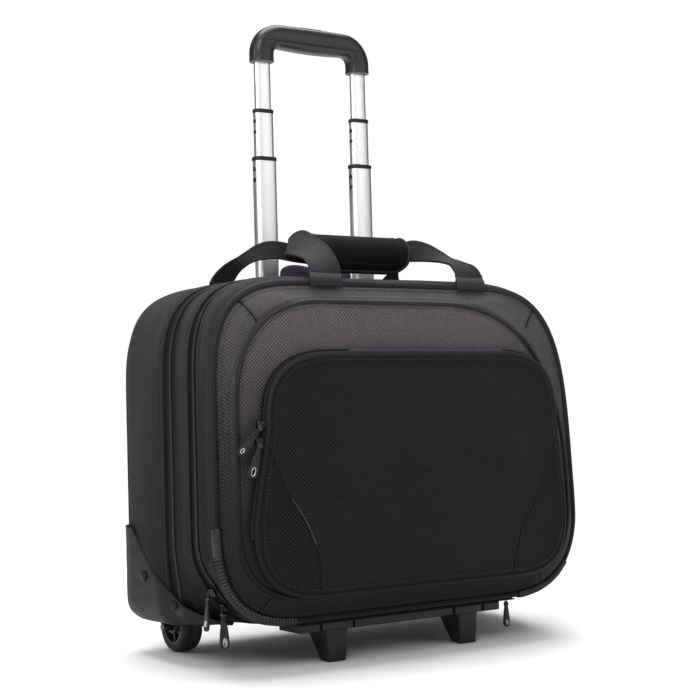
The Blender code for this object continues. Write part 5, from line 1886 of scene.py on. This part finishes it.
def floor_material():
    """White paper that turns into plain white away from the case, for the camera only."""
    mat = Material("floor_paper")
    mat.tint((0.93, 0.93, 0.93),
             mat.remap(mat.noise(mat.coords(), scale=2.0), gain=0.01, offset=0.995))
    mat.set({"Roughness": 0.8, "Specular IOR Level": 0.1})
    distance = mat.node("ShaderNodeVectorMath", {0: mat.coords()}, operation="LENGTH")
    painted_top_light_and_floor_ramp = mat.map_range(distance.outputs["Value"], {"From Min": 0.42, "From Max": 0.85},
                         interpolation_type="SMOOTHSTEP")
    glow = mat.node("ShaderNodeEmission", {"Strength": 1.03})
    camera_ray = mat.node("ShaderNodeLightPath").outputs["Is Camera Ray"]
    mixed = mat.node("ShaderNodeMixShader", {0: mat.mul(painted_top_light_and_floor_ramp, camera_ray),
                                             1: mat.shader.outputs[0], 2: glow.outputs[0]})
    mat.feed(mat.tree.nodes["Material Output"].inputs["Surface"], mixed.outputs[0])
    return mat.data


def build_floor():
    half, z = 9, -.0006
    mesh = bpy.data.meshes.new("floor")
    mesh.from_pydata([(-half, -half, z), (half, -half, z), (half, half, z), (-half, half, z)],
                     [], [(0, 1, 2, 3)])
    floor = place("floor", mesh)
    mesh.materials.append(floor_material())


def build_world():
    """Vertical grey ramp for light, a soft glow from the front left for reflections,
    and white for the camera."""
    world = bpy.data.worlds.new("studio")
    world.use_nodes = True
    scene.world = world
    graph = Graph(world.node_tree)
    rays = graph.node("ShaderNodeLightPath").outputs
    direction = graph.coords("Generated")
    height = graph.map_range(graph.split(direction)[2], {"From Min": -1.0, "From Max": 1.0})
    ramp = graph.node("ShaderNodeValToRGB", {0: height})
    elements = ramp.color_ramp.elements
    elements[0].position = 0.0
    elements[0].color = (0.10, 0.10, 0.10, 1)
    elements[1].position = 1.0
    elements[1].color = (0.62, 0.62, 0.63, 1)
    for position, grey in ((0.42, 0.16), (0.55, 0.34), (0.75, 0.50)):
        elements.new(position).color = (grey, grey, grey, 1)
    # inputs 6 and 7 of a colour mix are its two colours
    camera_mix = graph.node("ShaderNodeMix", {"Factor": rays["Is Camera Ray"],
                                              7: (1.0, 1.0, 1.0, 1.0)}, data_type="RGBA")
    facing = graph.node("ShaderNodeVectorMath", {0: direction, 1: (-0.72, -0.60, 0.35)},
                        operation="DOT_PRODUCT")
    glow = graph.map_range(facing.outputs["Value"], {
        "From Min": 0.05, "From Max": 0.80, "To Min": 0.10, "To Max": 1.05},
        interpolation_type="SMOOTHSTEP")
    glossy_mix = graph.node("ShaderNodeMix", {"Factor": rays["Is Glossy Ray"],
                                              6: ramp.outputs[0], 7: glow}, data_type="RGBA")
    graph.feed(camera_mix.inputs[6], glossy_mix.outputs[2])
    background = graph.tree.nodes["Background"]
    graph.feed(background.inputs[0], camera_mix.outputs[2])
    background.inputs[1].default_value = 1.02


def area_light(name, location, size, energy):
    """Square light aimed at the lower part of the case."""
    light = bpy.data.lights.new(name, "AREA")
    light.size = size
    light.energy = energy
    light.shape = "SQUARE"
    ob = place(name, light)
    ob.location = location
    aim = Vector((0, 0, .3)) - Vector(location)
    ob.rotation_euler = aim.to_track_quat("-Z", "Y").to_euler()


build_floor()
build_world()
area_light("key", location=(-1.7, -1.5, 2.2), size=1.2, energy=26.0)
area_light("side", location=(-2.6, 0.6, 1.3), size=0.9, energy=9.0)
area_light("fill", location=(1.6, -2.2, 1.4), size=1.4, energy=8.0)
area_light("top", location=(0.2, 0.5, 2.8), size=2.2, energy=85.0)

lens = bpy.data.cameras.new("camera")
lens.lens = 78.93
lens.sensor_width = 36.0
camera = place("camera", lens)
camera.location = (-0.9166, -1.2828, 0.2985)
camera.rotation_euler = (math.radians(90), 0, math.radians(-35))
scene.camera = camera
scene.view_settings.view_transform = "Standard"
scene.view_settings.gamma = 0.88
